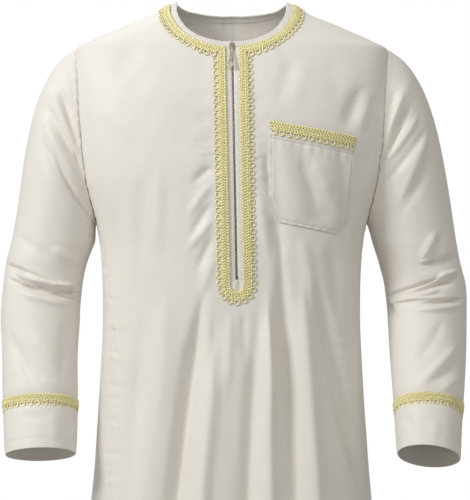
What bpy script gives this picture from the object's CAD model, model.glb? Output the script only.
"""Visual model of a men's thobe: cloth shells, braid, zip, sewing and the plain studio round it."""

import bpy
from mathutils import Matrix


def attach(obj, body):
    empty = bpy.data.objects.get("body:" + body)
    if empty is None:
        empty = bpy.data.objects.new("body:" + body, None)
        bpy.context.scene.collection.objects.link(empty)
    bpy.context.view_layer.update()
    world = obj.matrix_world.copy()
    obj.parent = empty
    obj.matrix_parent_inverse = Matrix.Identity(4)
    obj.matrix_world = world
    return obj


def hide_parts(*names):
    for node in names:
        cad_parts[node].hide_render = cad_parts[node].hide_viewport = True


bl_info = {
    "name": "Men's Thobe",
    "version": (1, 0, 0),
    "blender": (4, 5, 0),
    "location": "3D View > Sidebar > Thobe",
    "description": "Ankle-length thobe with a zipped placket, looped gold braid and a chest pocket",
    "category": "Object",
}

import math

import bmesh
import bpy
import numpy as np
from mathutils import Vector

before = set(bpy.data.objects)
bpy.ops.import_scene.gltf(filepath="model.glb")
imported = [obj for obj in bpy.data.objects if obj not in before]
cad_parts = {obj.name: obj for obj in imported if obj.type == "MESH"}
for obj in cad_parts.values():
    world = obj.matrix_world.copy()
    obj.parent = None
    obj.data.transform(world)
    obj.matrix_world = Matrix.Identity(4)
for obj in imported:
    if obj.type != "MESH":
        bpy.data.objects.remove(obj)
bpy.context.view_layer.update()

# ---------------------------------------------------------------- sizes, in metres
CLOTH = 0.0012
SEAM_GAP = 0.0003
HEM_HEIGHT = -1.400

NECK_HALF_WIDTH = 0.088
NECK_REACH_FRONT = 0.078
NECK_REACH_BACK = 0.070
NECK_SQUARENESS = 2.2
NECK_DROP_FRONT = 0.0715
NECK_DROP_BACK = 0.0142
BINDING_WIDTH = 0.0110

ARMHOLE_TOP = -0.0770
ARMHOLE_BOTTOM = -0.3520
ARMHOLE_FRONT = 0.056
ARMHOLE_BACK = 0.060
SHOULDER_TIP_TURN = math.radians(9)

ZIP_TOP_SIDE = 0.0010
ZIP_LEAN = 0.0193
ZIP_REACH = 0.378
SLIT_HALF = 0.0017
SLIT_END = -0.4423
ZIP_STOP_HEIGHT = -0.4383
ZIP_STOP_LENGTH = 0.0040
SLIDER_HEIGHT = -0.0800
SLIDER_LENGTH = 0.0110
SLIDER_FACE = 0.0020
PULL_HOLE_HALF = 0.0014
PULL_LEAN = math.radians(-5)
PULL_AXIS_RISE = 0.0012
PULL_REST_LIFT = math.radians(2)

BAND_INNER_HALF = 0.0110
BAND_WIDTH = 0.0100
LOOP_PITCH = 0.0112
LOOP_REACH_GAP = 0.0012
U_CENTRE_HEIGHT = -0.4506
CUFF_TO_BAND = 0.0850
CUFF_CINCH = 0.0018
ARM_TOP = -0.385
ARM_LEAN_LEFT = 0.16
ARM_LEAN_RIGHT = 0.23
UNEVENNESS = 0.0006
SIDES = ((1, "left"), (-1, "right"))


def columns(names, rows):
    """A table with a name for each column. Its first column rises."""
    return dict(zip(names.split(), (np.array(values, float) for values in zip(*rows))))


def folds(rows):
    """Folds in tenths of a millimetre: three points in the front view, then half width and depth.
    Troughs are negative."""
    return columns("x0 z0 x1 z1 x2 z2 spread depth", np.array(rows) / 10000)


# Level sections of the body, from the hem up to the sides of the neck.
BODY = columns("height half_width front back squareness", [
    (-1.400, 0.3000, 0.185, 0.190, 2.20),
    (-1.150, 0.2680, 0.166, 0.172, 2.20),
    (-0.950, 0.2430, 0.151, 0.157, 2.30),
    (-0.800, 0.2245, 0.139, 0.146, 2.40),
    (-0.700, 0.2165, 0.132, 0.139, 2.45),
    (-0.600, 0.2095, 0.127, 0.131, 2.50),
    (-0.500, 0.2055, 0.123, 0.123, 2.50),
    (-0.420, 0.2070, 0.122, 0.118, 2.50),
    (-0.355, 0.2150, 0.123, 0.117, 2.60),
    (-0.280, 0.2390, 0.122, 0.120, 2.70),
    (-0.210, 0.2510, 0.117, 0.123, 2.70),
    (-0.150, 0.2550, 0.108, 0.119, 2.60),
    (-0.110, 0.2545, 0.095, 0.111, 2.50),
    (-0.0775, 0.2500, 0.0815, 0.101, 2.20),
    (-0.0620, 0.2235, 0.0693, 0.095, 2.05),
    (-0.0480, 0.1920, 0.0563, 0.089, 2.00),
    (-0.0358, 0.1640, 0.0445, 0.084, 2.00),
    (-0.0224, 0.1300, 0.0325, 0.077, 2.00),
    (-0.0142, 0.1145, 0.0240, 0.070, 2.00),
    (-0.0071, 0.1010, 0.0150, 0.0558, 2.00),
    (-0.0025, 0.0927, 0.0085, 0.0360, 2.00),
    (0.000, 0.0880, 0.0040, 0.0200, 2.00),
])
SHOULDER_SEAM = columns("distance turn", [(0.000, 77), (0.060, 74), (0.110, 79), (0.180, 87)])
SIDE_SEAM = columns("height left right", [
    (-1.400, 68, 68),
    (-0.800, 66, 66),
    (-0.650, 64, 66),
    (-0.550, 66, 68),
    (-0.450, 75, 75),
    (-0.350, 87, 87),
])
FLUTES = columns("start_turn hem_turn start_height spread depth", [
    (-31, -40, -0.46, 11, -0.0090),
    (-19, -24, -0.50, 9, 0.0050),
    (8, 6, -0.48, 10, -0.0080),
    (17, 21, -0.46, 8, 0.0060),
    (28, 35, -0.44, 11, -0.0100),
    (44, 52, -0.42, 10, 0.0070),
    (-52, -58, -0.55, 11, 0.0080),
    (-78, -80, -0.60, 12, -0.0080),
    (80, 82, -0.60, 12, -0.0080),
    (104, 106, -0.55, 13, 0.0090),
    (128, 126, -0.50, 12, -0.0100),
    (152, 150, -0.45, 12, 0.0080),
    (176, 174, -0.42, 11, -0.0100),
    (-160, -158, -0.46, 12, 0.0080),
    (-136, -132, -0.52, 12, -0.0090),
    (-108, -104, -0.58, 13, 0.0090),
])
# The broad creases, which the solids have too.
FRONT_CREASES = folds([
    (-1400, -720, -1650, -950, -1850, -1200, 100, -30),
    (2000, -1400, 1900, -1750, 1720, -2100, 120, -35),
    (570, -2300, 660, -3300, 860, -4400, 140, -40),
    (-200, -2660, -400, -2820, -600, -2980, 120, -25),
    (-2780, -1300, -2620, -1700, -2400, -2360, 100, -40),
    (-2960, -1700, -2620, -2260, -2290, -2780, 100, -35),
    (2800, -1300, 2620, -1800, 2350, -2400, 100, 40),
    (3100, -1900, 2840, -2500, 2540, -3200, 120, 35),
    (-3560, -4240, -3180, -4500, -2520, -4860, 100, -50),
    (3600, -4340, 3300, -4480, 2620, -4740, 100, -50),
    (3620, -4100, 3300, -4240, 3000, -4240, 100, -35),
    (3550, -5450, 3200, -5800, 2850, -6150, 130, 30),
    (-3500, -5300, -3250, -5700, -3000, -6100, 140, -25),
])
BACK_CREASES = folds([
    (-2000, -1300, -1900, -2000, -1650, -2800, 140, -40),
    (2000, -1300, 1900, -2000, 1650, -2800, 140, -40),
    (-2850, -1400, -2680, -2000, -2440, -2700, 120, -40),
    (2850, -1400, 2680, -2000, 2440, -2700, 120, -40),
    (-3500, -4000, -3100, -4400, -2620, -4500, 120, 35),
    (3500, -4000, 3100, -4400, 2620, -4500, 120, 35),
])
# The arms below the underarm: centre, half sizes, forward tilt and roll at each height.
ARM_LEFT = columns("height x y half_width half_depth tilt roll", [
    (-0.715, 0.3050, -0.105, 0.0495, 0.0480, 27, 6),
    (-0.640, 0.3080, -0.068, 0.0545, 0.0530, 26, 3),
    (-0.560, 0.3110, -0.030, 0.0600, 0.0580, 22, 0),
    (-0.500, 0.3120, -0.006, 0.0630, 0.0610, 15, 0),
    (-0.455, 0.3100, 0.006, 0.0650, 0.0630, 6, 0),
    (-0.420, 0.3020, 0.009, 0.0650, 0.0650, 2, 0),
    (-0.385, 0.2930, 0.008, 0.0670, 0.0665, 0, 0),
])
ARM_RIGHT = columns("height x y half_width half_depth tilt roll", [
    (-0.716, 0.2980, -0.070, 0.0555, 0.0520, 18, 2),
    (-0.640, 0.3010, -0.045, 0.0590, 0.0550, 17, 1),
    (-0.560, 0.3040, -0.020, 0.0600, 0.0580, 15, 0),
    (-0.500, 0.3050, -0.004, 0.0630, 0.0610, 10, 0),
    (-0.455, 0.3020, 0.004, 0.0630, 0.0630, 4, 0),
    (-0.420, 0.2970, 0.008, 0.0645, 0.0650, 1, 0),
    (-0.385, 0.2860, 0.008, 0.0670, 0.0665, 0, 0),
])

# The pocket's corners on the front, as (side, height).
POCKET_TOP_INNER = (0.0594, -0.1985)
POCKET_TOP_OUTER = (0.1935, -0.2219)
POCKET_SIDE_OUTER = (0.1810, -0.3518)
POCKET_TIP = (0.1610, -0.3712)
POCKET_LOW_INNER = (0.0732, -0.3538)
POCKET_SIDE_INNER = (0.0594, -0.3215)

# Finer folds of the front, the sleeves and the back.
FRONT_FOLDS = folds([
    (-1315, -864, -1574, -1071, -1858, -1330, 112, -22),
    (-1001, -1029, -1233, -1390, -1310, -1803, 150, 14),
    (-2032, -1648, -1750, -2030, -1413, -2370, 150, 16),
    (-277, -2688, -482, -2790, -610, -2995, 60, -32),
    (-277, -2918, -533, -3200, -686, -3507, 60, 32),
    (-277, -3200, -482, -3507, -661, -3814, 60, -36),
    (-267, -3456, -482, -3763, -738, -4019, 55, 36),
    (-251, -3712, -430, -4019, -558, -4378, 60, -40),
    (-226, -4019, -379, -4326, -482, -4736, 70, 25),
    (-278, -1605, -483, -1569, -689, -1605, 30, -13),
    (-278, -1810, -483, -1769, -638, -1759, 30, 14),
    (-278, -1990, -483, -1954, -663, -1923, 30, -14),
    (-278, -2170, -483, -2129, -612, -2108, 30, 14),
    (-278, -2324, -458, -2293, -586, -2293, 30, -14),
    (-278, -2488, -458, -2468, -535, -2488, 30, 13),
    (349, -1656, 493, -1615, 621, -1656, 30, -13),
    (349, -1887, 493, -1851, 606, -1887, 30, 14),
    (349, -2093, 467, -2067, 560, -2077, 28, -14),
    (359, -2324, 467, -2298, 560, -2324, 28, 13),
    (359, -2581, 462, -2550, 544, -2591, 30, -14),
    (359, -2838, 467, -2807, 544, -2863, 30, 13),
    (1010, -926, 804, -1339, 726, -1803, 125, -20),
    (1216, -978, 1061, -1339, 958, -1803, 137, 14),
    (1577, -875, 1628, -1339, 1680, -1854, 163, -12),
    (2041, -1416, 1912, -1700, 1783, -2164, 112, -30),
    (2196, -1648, 2067, -1906, 1938, -2215, 100, 22),
    (2299, -1493, 2185, -1854, 2067, -2267, 88, -26),
    (2255, -2364, 2151, -2778, 2048, -3192, 88, 18),
    (2177, -2313, 2089, -2675, 2022, -3140, 75, -18),
    (542, -2381, 542, -2790, 604, -3302, 50, -36),
    (604, -3405, 722, -3712, 798, -4224, 70, -47),
    (414, -2995, 491, -3610, 619, -4326, 80, 29),
    (1259, -2534, 1362, -2893, 1566, -3200, 90, 25),
    (1054, -2483, 1182, -2893, 1362, -3405, 90, -25),
    (1054, -3661, 1208, -4326, 1310, -5043, 100, 40),
    (1495, -3737, 1623, -4328, 1674, -5150, 100, -36),
    (1886, -3659, 1835, -4226, 1809, -4896, 100, 25),
    (-1357, -2632, -1383, -3403, -1434, -4328, 110, -22),
    (-1100, -2581, -1126, -3300, -1151, -4225, 100, 22),
    (-1800, -3195, -1774, -4020, -1826, -5154, 120, -25),
    (-1594, -2988, -1558, -3916, -1568, -5051, 110, 18),
    (-1357, -4739, -1408, -5766, -1511, -7051, 120, -25),
    (-997, -4533, -1049, -5663, -1151, -6948, 130, 32),
    (92, -4419, 143, -4521, 143, -4659, 30, -29),
    (30, -4480, 51, -4572, 61, -4654, 30, 16),
    (-277, -4915, -200, -5504, -226, -6272, 80, -25),
    (-21, -4864, -21, -5504, -113, -6528, 80, 29),
    (542, -4864, 655, -5658, 604, -6733, 90, 40),
    (184, -4864, 210, -5299, 225, -5862, 70, -29),
    (-2046, -2307, -2124, -2774, -2067, -3397, 88, -14),
    (1977, -3397, 2003, -3812, 1951, -4331, 70, -25),
    (-400, -4450, -780, -6575, -1080, -10000, 135, -175),
    (-180, -5000, -380, -7000, -650, -10000, 120, 68),
    (420, -4650, 260, -7200, 220, -10000, 120, -115),
    (560, -4400, 590, -7000, 680, -10000, 110, 101),
    (740, -3750, 850, -6000, 1130, -9800, 130, -142),
    (1080, -4200, 1200, -6200, 1450, -9500, 120, 74),
    (1250, -4200, 1650, -6000, 2150, -8200, 120, -121),
    (-1450, -5200, -1500, -7000, -1750, -9500, 150, -47),
    (-1100, -8500, -1250, -11000, -1400, -14200, 180, -108),
    (-200, -8500, -250, -11000, -250, -14200, 170, 81),
    (300, -8500, 300, -11000, 350, -14200, 170, -108),
    (900, -8500, 950, -11000, 1050, -14200, 170, 95),
    (1400, -8300, 1550, -11000, 1700, -14200, 180, -108),
    (-1850, -8300, -2000, -11000, -2150, -14200, 180, -81),
])
SLEEVE_FOLDS = folds([
    (-2739, -1356, -2566, -1765, -2346, -2421, 50, -35),
    (-2855, -1409, -2645, -1870, -2330, -2657, 55, 30),
    (-2970, -1566, -2697, -2132, -2236, -2893, 50, -35),
    (-3022, -1818, -2724, -2395, -2225, -3129, 60, 32),
    (-3064, -2132, -2724, -2762, -2162, -3496, 70, -35),
    (-3012, -2604, -2697, -3129, -2173, -3706, 80, 19),
    (-2514, -1765, -2409, -2080, -2330, -2342, 40, 19),
    (-3592, -4206, -3455, -4232, -3138, -4390, 35, -65),
    (-3571, -4390, -3350, -4559, -2822, -4612, 40, -74),
    (-3455, -4295, -3191, -4454, -2769, -4538, 40, 56),
    (-3154, -4468, -2812, -4610, -2391, -4784, 40, -74),
    (-2865, -4494, -2654, -4547, -2391, -4505, 40, 52),
    (-2786, -4589, -2575, -4642, -2375, -4652, 38, -70),
    (-3327, -4650, -2960, -4718, -2409, -4886, 60, 43),
    (-3455, -3704, -3138, -3915, -2610, -4232, 90, -19),
    (-2874, -3915, -2584, -4074, -2373, -4232, 80, 30),
    (-3512, -5218, -3304, -5687, -3043, -6052, 90, -32),
    (-3147, -5166, -2887, -5583, -2574, -5843, 90, 26),
    (-2627, -5062, -2574, -5531, -2679, -6052, 80, -26),
    (-2981, -5941, -2825, -6044, -2566, -6096, 50, 16),
    (2731, -1409, 2547, -1870, 2274, -2489, 55, 40),
    (2600, -1409, 2468, -1765, 2259, -2290, 50, -35),
    (2862, -1608, 2626, -2132, 2259, -2657, 50, -35),
    (2977, -1765, 2731, -2237, 2285, -2762, 55, 40),
    (3098, -1975, 2836, -2500, 2285, -3024, 60, -35),
    (3134, -1986, 2914, -2657, 2547, -3391, 70, 32),
    (3176, -2395, 2967, -2972, 2600, -3496, 80, -24),
    (3229, -3653, 3098, -3916, 2940, -4204, 70, 40),
    (3360, -3653, 3281, -3968, 3124, -4230, 70, -30),
    (3634, -4100, 3292, -4100, 2950, -4231, 60, -76),
    (3646, -4311, 3409, -4295, 3145, -4496, 36, 65),
    (3661, -4431, 3240, -4494, 2556, -4731, 36, -67),
    (3345, -4547, 2977, -4678, 2556, -4784, 45, 60),
    (3741, -4723, 3356, -4786, 2881, -4813, 36, -67),
    (3713, -4836, 3292, -4889, 2819, -4915, 50, 52),
    (2460, -4778, 2565, -4909, 2486, -5092, 40, -60),
    (3542, -5431, 3218, -5745, 2800, -6111, 60, 32),
    (3610, -5667, 3270, -5902, 2905, -6137, 55, -27),
    (3636, -5850, 3375, -6059, 3114, -6189, 50, 24),
    (3323, -5013, 3166, -5431, 2800, -5745, 80, -26),
    (-3269, -6494, -3089, -6597, -2805, -6494, 60, -14),
    (-2805, -6468, -2702, -6700, -2728, -6958, 80, 16),
    (2678, -6512, 2775, -6680, 2833, -6875, 70, -16),
    (3093, -6512, 3145, -6719, 3067, -6927, 80, 14),
    (-3496, -4213, -3205, -4305, -2715, -4519, 26, -36),
    (-3603, -4473, -2929, -4580, -2195, -4871, 26, -46),
    (-2761, -4412, -2746, -4580, -2562, -4611, 20, -30),
    (-2531, -4565, -2501, -4718, -2348, -4764, 20, -30),
    (-3328, -4366, -2929, -4473, -2470, -4550, 26, 24),
    (2337, -4749, 2812, -4565, 3440, -4351, 26, -48),
    (2888, -4167, 3195, -4106, 3684, -4075, 25, 26),
    (3240, -4397, 3394, -4244, 3562, -4381, 22, 30),
    (2307, -4856, 2888, -4672, 3746, -4718, 22, 26),
    (2092, -2958, 2460, -2468, 2781, -1855, 28, -52),
    (2184, -2559, 2460, -2100, 2628, -1427, 27, -50),
    (-2838, -2253, -2623, -2973, -2026, -3754, 32, -56),
    (-2531, -2345, -2256, -2713, -2103, -3294, 27, -50),
])
BACK_FOLDS = folds([
    (-2300, -1500, -2050, -2100, -1900, -2900, 80, 40),
    (2350, -1400, 2100, -2050, 1880, -2800, 80, 43),
    (-1700, -1400, -1500, -2300, -1300, -3300, 120, -29),
    (1650, -1500, 1400, -2400, 1250, -3400, 130, -32),
    (-900, -900, -200, -1150, 600, -1000, 90, -22),
    (-600, -4200, -500, -5200, -650, -6800, 110, 32),
    (400, -4000, 500, -5300, 450, -7000, 110, -32),
    (-1500, -4600, -700, -4900, 200, -4700, 100, -25),
    (1500, -4400, 800, -4850, -100, -4550, 90, 22),
    (-3400, -4150, -3000, -4250, -2550, -4550, 45, -54),
    (-3450, -4450, -3050, -4500, -2600, -4700, 50, 43),
    (3450, -4250, 3000, -4350, 2600, -4600, 45, -54),
    (3500, -4600, 3100, -4650, 2650, -4800, 50, 40),
    (-2950, -1600, -2750, -2200, -2500, -3000, 60, 43),
    (2950, -1600, 2750, -2200, 2500, -3000, 60, 43),
    (-900, -4300, -1000, -7000, -1150, -10000, 150, -80),
    (-400, -4500, -350, -7000, -400, -10500, 150, 60),
    (150, -4300, 200, -7500, 150, -11000, 150, -85),
    (800, -4500, 850, -7000, 1000, -10000, 150, 60),
    (1300, -4200, 1450, -7000, 1700, -10500, 160, -80),
    (-1500, -4600, -1650, -7500, -1900, -11000, 160, 60),
    (-700, -9000, -750, -11500, -800, -14200, 180, -80),
    (600, -9000, 650, -11500, 700, -14200, 180, -80),
])


# ---------------------------------------------------------------- number helpers
def at(table, name, where):
    """Cubic curve through a table's column, with slopes held back so it doesn't overshoot."""
    knots = next(iter(table.values()))
    values = table[name]
    steps = np.diff(knots)
    slopes = np.diff(values) / steps
    inner = np.where(slopes[:-1] * slopes[1:] > 0, (slopes[:-1] + slopes[1:]) / 2, 0)
    limit = 2.5 * np.minimum(abs(slopes[:-1]), abs(slopes[1:]))
    tangents = np.concatenate(([slopes[0]], np.clip(inner, -limit, limit), [slopes[-1]]))
    place = np.clip(np.asarray(where, float), knots[0], knots[-1])
    cell = np.clip(np.searchsorted(knots, place) - 1, 0, len(steps) - 1)
    u = (place - knots[cell]) / steps[cell]
    start = (2 * u**3 - 3 * u**2 + 1) * values[cell]
    end = (3 * u**2 - 2 * u**3) * values[cell + 1]
    leaving = (u**3 - 2 * u**2 + u) * steps[cell] * tangents[cell]
    arriving = (u**3 - u**2) * steps[cell] * tangents[cell + 1]
    return start + end + leaving + arriving


def ease(value):
    """Smooth step from 0 to 1."""
    value = np.clip(value, 0, 1)
    return value * value * (3 - 2 * value)


def unit(vectors):
    """Vectors divided by their lengths."""
    return vectors / np.maximum(np.linalg.norm(vectors, axis=-1, keepdims=True), 1e-12)


def normals_of(surface, first, second, steps, limits=(-np.inf, np.inf)):
    """Normals of a surface: the cross product of its central differences."""
    run = surface(first + steps[0], second) - surface(first - steps[0], second)
    rise = (surface(first, np.clip(second + steps[1], *limits))
            - surface(first, np.clip(second - steps[1], *limits)))
    return unit(np.cross(run, rise))


def lengths_along(points, axis):
    """Distance covered so far along one way of a grid of points."""
    steps = np.linalg.norm(np.diff(points, axis=axis), axis=-1)
    start = np.zeros_like(np.take(steps, [0], axis=axis))
    return np.concatenate([start, np.cumsum(steps, axis=axis)], axis=axis)


def refined(values, count):
    """A short list read at more places, evenly spread by its own numbering."""
    return np.interp(np.linspace(0, len(values) - 1, count), np.arange(len(values)), values)


def read_along(where, way, line):
    """A line's points at distances along it."""
    return np.stack([np.interp(where, way, line[:, axis]) for axis in range(3)], axis=-1)


def ripple(u, v, seed):
    """Faint unevenness: a sum of sines whose directions and lengths don't repeat together."""
    total = 0
    for index, (across, down, share) in enumerate(((23, 6, 0.5), (37, -11, 0.3), (61, 17, 0.2),
                                                   (14, 21, 0.35), (89, -29, 0.10))):
        phase = seed * 1.7 + index * 2.399
        bend = 0.9 * np.sin(v * (5 + index) + phase)
        total = total + share * np.sin(u * across * 2.1 + bend + v * down * 1.3 + phase)
    return total


# ---------------------------------------------------------------- the body's surface
def smooth_body(turn, height):
    """Rounded-box section of the given height, read at an angle round it."""
    turn, height = np.broadcast_arrays(turn, height)
    side = np.sin(turn)
    ahead = np.cos(turn)
    power = at(BODY, "squareness", height)
    depth = np.where(ahead > 0, at(BODY, "front", height), at(BODY, "back", height))
    width = at(BODY, "half_width", height)
    reach = ((abs(side) / width)**power + (abs(ahead) / depth)**power)**(-1 / power)
    return np.stack([reach * side, -reach * ahead, height], axis=-1)


def flute_depth(turn, height):
    """Sum of the skirt's folds: bells across the turn that grow from their start to the hem."""
    total = np.zeros(np.shape(turn))
    for start_turn, hem_turn, start_height, spread, depth in zip(*FLUTES.values()):
        down = np.clip((start_height - height) / (start_height - HEM_HEIGHT), 0, 1)
        middle = np.radians(start_turn + (hem_turn - start_turn) * down)
        away = np.arctan2(np.sin(turn - middle), np.cos(turn - middle)) / math.radians(spread)
        growth = ease(down * 3) * (0.45 + 0.9 * down)
        total = total + depth * growth * np.exp(-away**2)
    return total


def fold_depth(points, table, broad=False):
    """Sum of folds: each is a bell of the distance, in the front view, to a curve through a table
    row's three points.

    The curve is ten straight pieces of the row's quadratic. A fine fold thins and sinks to nothing
    towards both ends, and a broad one keeps its width and a quarter of its depth there."""
    total = np.zeros(points.shape[:-1])
    share = np.linspace(0, 1, 11)
    for x0, z0, x1, z1, x2, z2, spread, depth in zip(*table.values()):
        x = (1 - share)**2 * x0 + 2 * share * (1 - share) * x1 + share**2 * x2
        z = (1 - share)**2 * z0 + 2 * share * (1 - share) * z1 + share**2 * z2
        reach = 3 * spread
        near = ((points[..., 0] > x.min() - reach) & (points[..., 0] < x.max() + reach)
                & (points[..., 2] > z.min() - reach) & (points[..., 2] < z.max() + reach))
        spot = points[near][:, None, ::2]
        start = np.stack([x[:-1], z[:-1]], axis=-1)
        step = np.stack([np.diff(x), np.diff(z)], axis=-1)
        along = np.clip(((spot - start) * step).sum(-1) / (step * step).sum(-1), 0, 1)
        gaps = np.linalg.norm(spot - start - along[..., None] * step, axis=-1)
        pick = gaps.argmin(axis=1)[:, None]
        nearest = np.take_along_axis(gaps, pick, axis=1)[:, 0]
        covered = (pick + np.take_along_axis(along, pick, axis=1))[:, 0] / 10
        if broad:
            strength = np.sin(math.pi * (0.08 + 0.84 * covered))
            width = spread
        else:
            strength = ease(covered * 3.3) * ease((1 - covered) * 2.5)
            width = spread * (0.35 + 0.65 * strength)
        total[near] += depth * strength * np.exp(-(nearest / width)**2)
    return total


def creased(points, normals, sharpness, front, back, broad=False):
    """Depth of the folds of one table where the cloth faces forward, and another's behind."""
    return (ease(-normals[..., 1] * sharpness) * fold_depth(points, front, broad),
            ease(normals[..., 1] * sharpness) * fold_depth(points, back, broad))


def body_base(turn, height):
    """The body's surface with its broad folds and creases, as the solids have it."""
    turn, height = np.broadcast_arrays(turn, height)
    points = smooth_body(turn, height)
    normals = normals_of(smooth_body, turn, height, (0.02, 0.004))
    points = points + unit(normals * np.array([1, 1, 0])) * flute_depth(turn, height)[..., None]
    front, back = creased(points, normals, 2, FRONT_CREASES, BACK_CREASES, True)
    return points + normals * (front + back)[..., None], normals


def body(turn, height):
    """The body's surface with its fine folds as well."""
    points, normals = body_base(turn, height)
    front, back = creased(points, normals, 3, FRONT_FOLDS, BACK_FOLDS)
    calm = ease((points[..., 2] - HEM_HEIGHT) / 0.03)
    faint = UNEVENNESS * calm * ripple(turn * 0.2, points[..., 2], 1)
    return points + normals * (front + back + faint)[..., None]


def body_normals(turn, height):
    """Outward normals of the body."""
    return normals_of(body, turn, height, (0.006, 0.0012))


def neck_height(turn):
    """The neck's edge: a rounded oval in plan that dips in front and is nearly level behind."""
    forward = np.cos(turn) > 0
    side = abs(np.sin(turn)) / NECK_HALF_WIDTH
    ahead = abs(np.cos(turn)) / np.where(forward, NECK_REACH_FRONT, NECK_REACH_BACK)
    share = ahead / (side**NECK_SQUARENESS + ahead**NECK_SQUARENESS)**(1 / NECK_SQUARENESS)
    return -share * np.where(forward, NECK_DROP_FRONT, NECK_DROP_BACK)


def below_neck(turn, distance):
    """Height of the point that lies a distance down the cloth from the neck's edge.

    Lengths down the section curve are added up at 160 heights, and the distance is looked up."""
    turn, distance = np.broadcast_arrays(turn, np.asarray(distance, float))
    heights = neck_height(turn)[..., None] - np.linspace(0, 1, 160)**1.5 * 0.42
    line = smooth_body(turn[..., None], heights)
    lengths = lengths_along(line, line.ndim - 2)
    after = np.clip((lengths < distance[..., None]).sum(axis=-1), 1, 159)[..., None]
    near, far, top, low = (np.take_along_axis(values, index, axis=-1)[..., 0]
                           for values in (lengths, heights) for index in (after - 1, after))
    return top + (low - top) * np.clip((distance - near) / (far - near), 0, 1)


def turn_at(side, height):
    """The turn at which the front lies a given distance to the side, found by halving."""
    side, height = np.broadcast_arrays(np.asarray(side, float), height)
    turn = np.zeros(side.shape)
    step = math.radians(85) / 2
    for _ in range(22):
        turn = turn + np.where(smooth_body(turn, height)[..., 0] < side, step, -step)
        step = step / 2
    return turn


def zip_side(height):
    """The zip leans a little towards the wearer's left as it goes down."""
    return ZIP_TOP_SIDE + ZIP_LEAN * np.clip(-NECK_DROP_FRONT - height, 0, ZIP_REACH)


def armhole(side, angle):
    """Turn and height of a point of the armhole's oval: 0 at the shoulder, front first."""
    ahead = np.sin(angle)
    y = -np.where(ahead > 0, ARMHOLE_FRONT, ARMHOLE_BACK) * ahead
    half = (ARMHOLE_TOP - ARMHOLE_BOTTOM) / 2
    height = ARMHOLE_BOTTOM + half + half * np.cos(angle)
    power = at(BODY, "squareness", height)
    reach = np.where(ahead > 0, at(BODY, "front", height), at(BODY, "back", height))
    x = at(BODY, "half_width", height) * (1 - (abs(y) / reach)**power)**(1 / power)
    return side * np.arctan2(x, -y), height


# ---------------------------------------------------------------- meshes
def cells(values, after=None):
    """Four corners of each cell of a grid that closes on itself. Another grid may follow it."""
    after = np.roll(values, -1, axis=1) if after is None else after
    return np.stack([values[:-1], after[:-1], after[1:], values[1:]], axis=2)


def put_mesh(name, points, quads, uv=None, triangles=None):
    """A mesh from whole arrays. uv holds one pair for each corner of each face."""
    faces = [quads] if triangles is None else [quads, triangles]
    corners = np.concatenate([part.ravel() for part in faces])
    totals = np.concatenate([np.full(len(part), part.shape[1]) for part in faces])
    mesh = bpy.data.meshes.new(name)
    mesh.vertices.add(len(points))
    mesh.vertices.foreach_set("co", np.asarray(points, np.float32).ravel())
    mesh.loops.add(len(corners))
    mesh.loops.foreach_set("vertex_index", corners.astype(np.int32))
    mesh.polygons.add(len(totals))
    mesh.polygons.foreach_set("loop_start", np.concatenate(([0], np.cumsum(totals)[:-1])))
    mesh.polygons.foreach_set("loop_total", totals)
    if uv is not None:
        layer = mesh.uv_layers.new(name="UVMap")
        layer.data.foreach_set("uv", np.asarray(uv, np.float32).ravel())
    mesh.update(calc_edges=True)
    mesh.validate()
    mesh.shade_smooth()
    return mesh


def volume_of(points, quads):
    """Signed volume: a sixth of the sum of the triangles' triple products."""
    a, b, c, d = (points[quads[:, corner]] for corner in range(4))
    return float(np.sum(a * np.cross(b, c)) + np.sum(a * np.cross(c, d))) / 6


def show(name, mesh, look, replaces=(), body_name="robe"):
    """Adds a piece, rides it on its body and says what it stands for."""
    piece = bpy.data.objects.new(name, mesh)
    bpy.context.scene.collection.objects.link(piece)
    mesh.materials.append(look)
    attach(piece, body_name)
    if replaces:
        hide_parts(*replaces)
    return piece


def wall(name, outer, inner, around=False, missing=None, sharp=75):
    """Closed wall between two grids. Rims join them wherever a face has no neighbour.

    The UV map holds metres: the way covered along the rows and along the columns."""
    rows, across = outer.shape[:2]
    count = rows * across
    points = np.concatenate([outer.reshape(-1, 3), inner.reshape(-1, 3)])
    faces = cells(np.arange(count).reshape(rows, across))
    right = lengths_along(outer, 1)
    if not around:
        right = right - right[:, across // 2, None]
    way = np.stack([right, lengths_along(outer, 0)], axis=-1)
    after = np.roll(way, -1, axis=1)
    after[:, -1, 0] = right[:, -1] + np.linalg.norm(outer[:, 0] - outer[:, -1], axis=-1)
    uv = cells(way, after)
    if not around:
        faces, uv = faces[:, :-1], uv[:, :-1]
    keep = np.ones(faces.shape[:2], bool) if missing is None else ~missing
    faces, uv = faces[keep], uv[keep]
    ends = np.roll(faces, -1, axis=1)
    lone = ~np.isin(faces * count + ends, ends * count + faces)
    starts, ends = faces[lone], ends[lone]
    starts_uv, ends_uv = uv[lone], np.roll(uv, -1, axis=1)[lone]
    rims = np.stack([ends, starts, starts + count, ends + count], axis=-1)
    rims_uv = np.stack([ends_uv, starts_uv, starts_uv, ends_uv], axis=1)
    quads = np.concatenate([faces, faces[:, ::-1] + count, rims])
    uv = np.concatenate([uv, uv[:, ::-1], rims_uv])
    if volume_of(points, quads) < 0:
        quads, uv = quads[:, ::-1], uv[:, ::-1]
    used, fresh = np.unique(quads, return_inverse=True)
    mesh = put_mesh(name, points[used], fresh.reshape(quads.shape), uv)
    mesh.set_sharp_from_angle(angle=math.radians(sharp))
    return mesh


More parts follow.
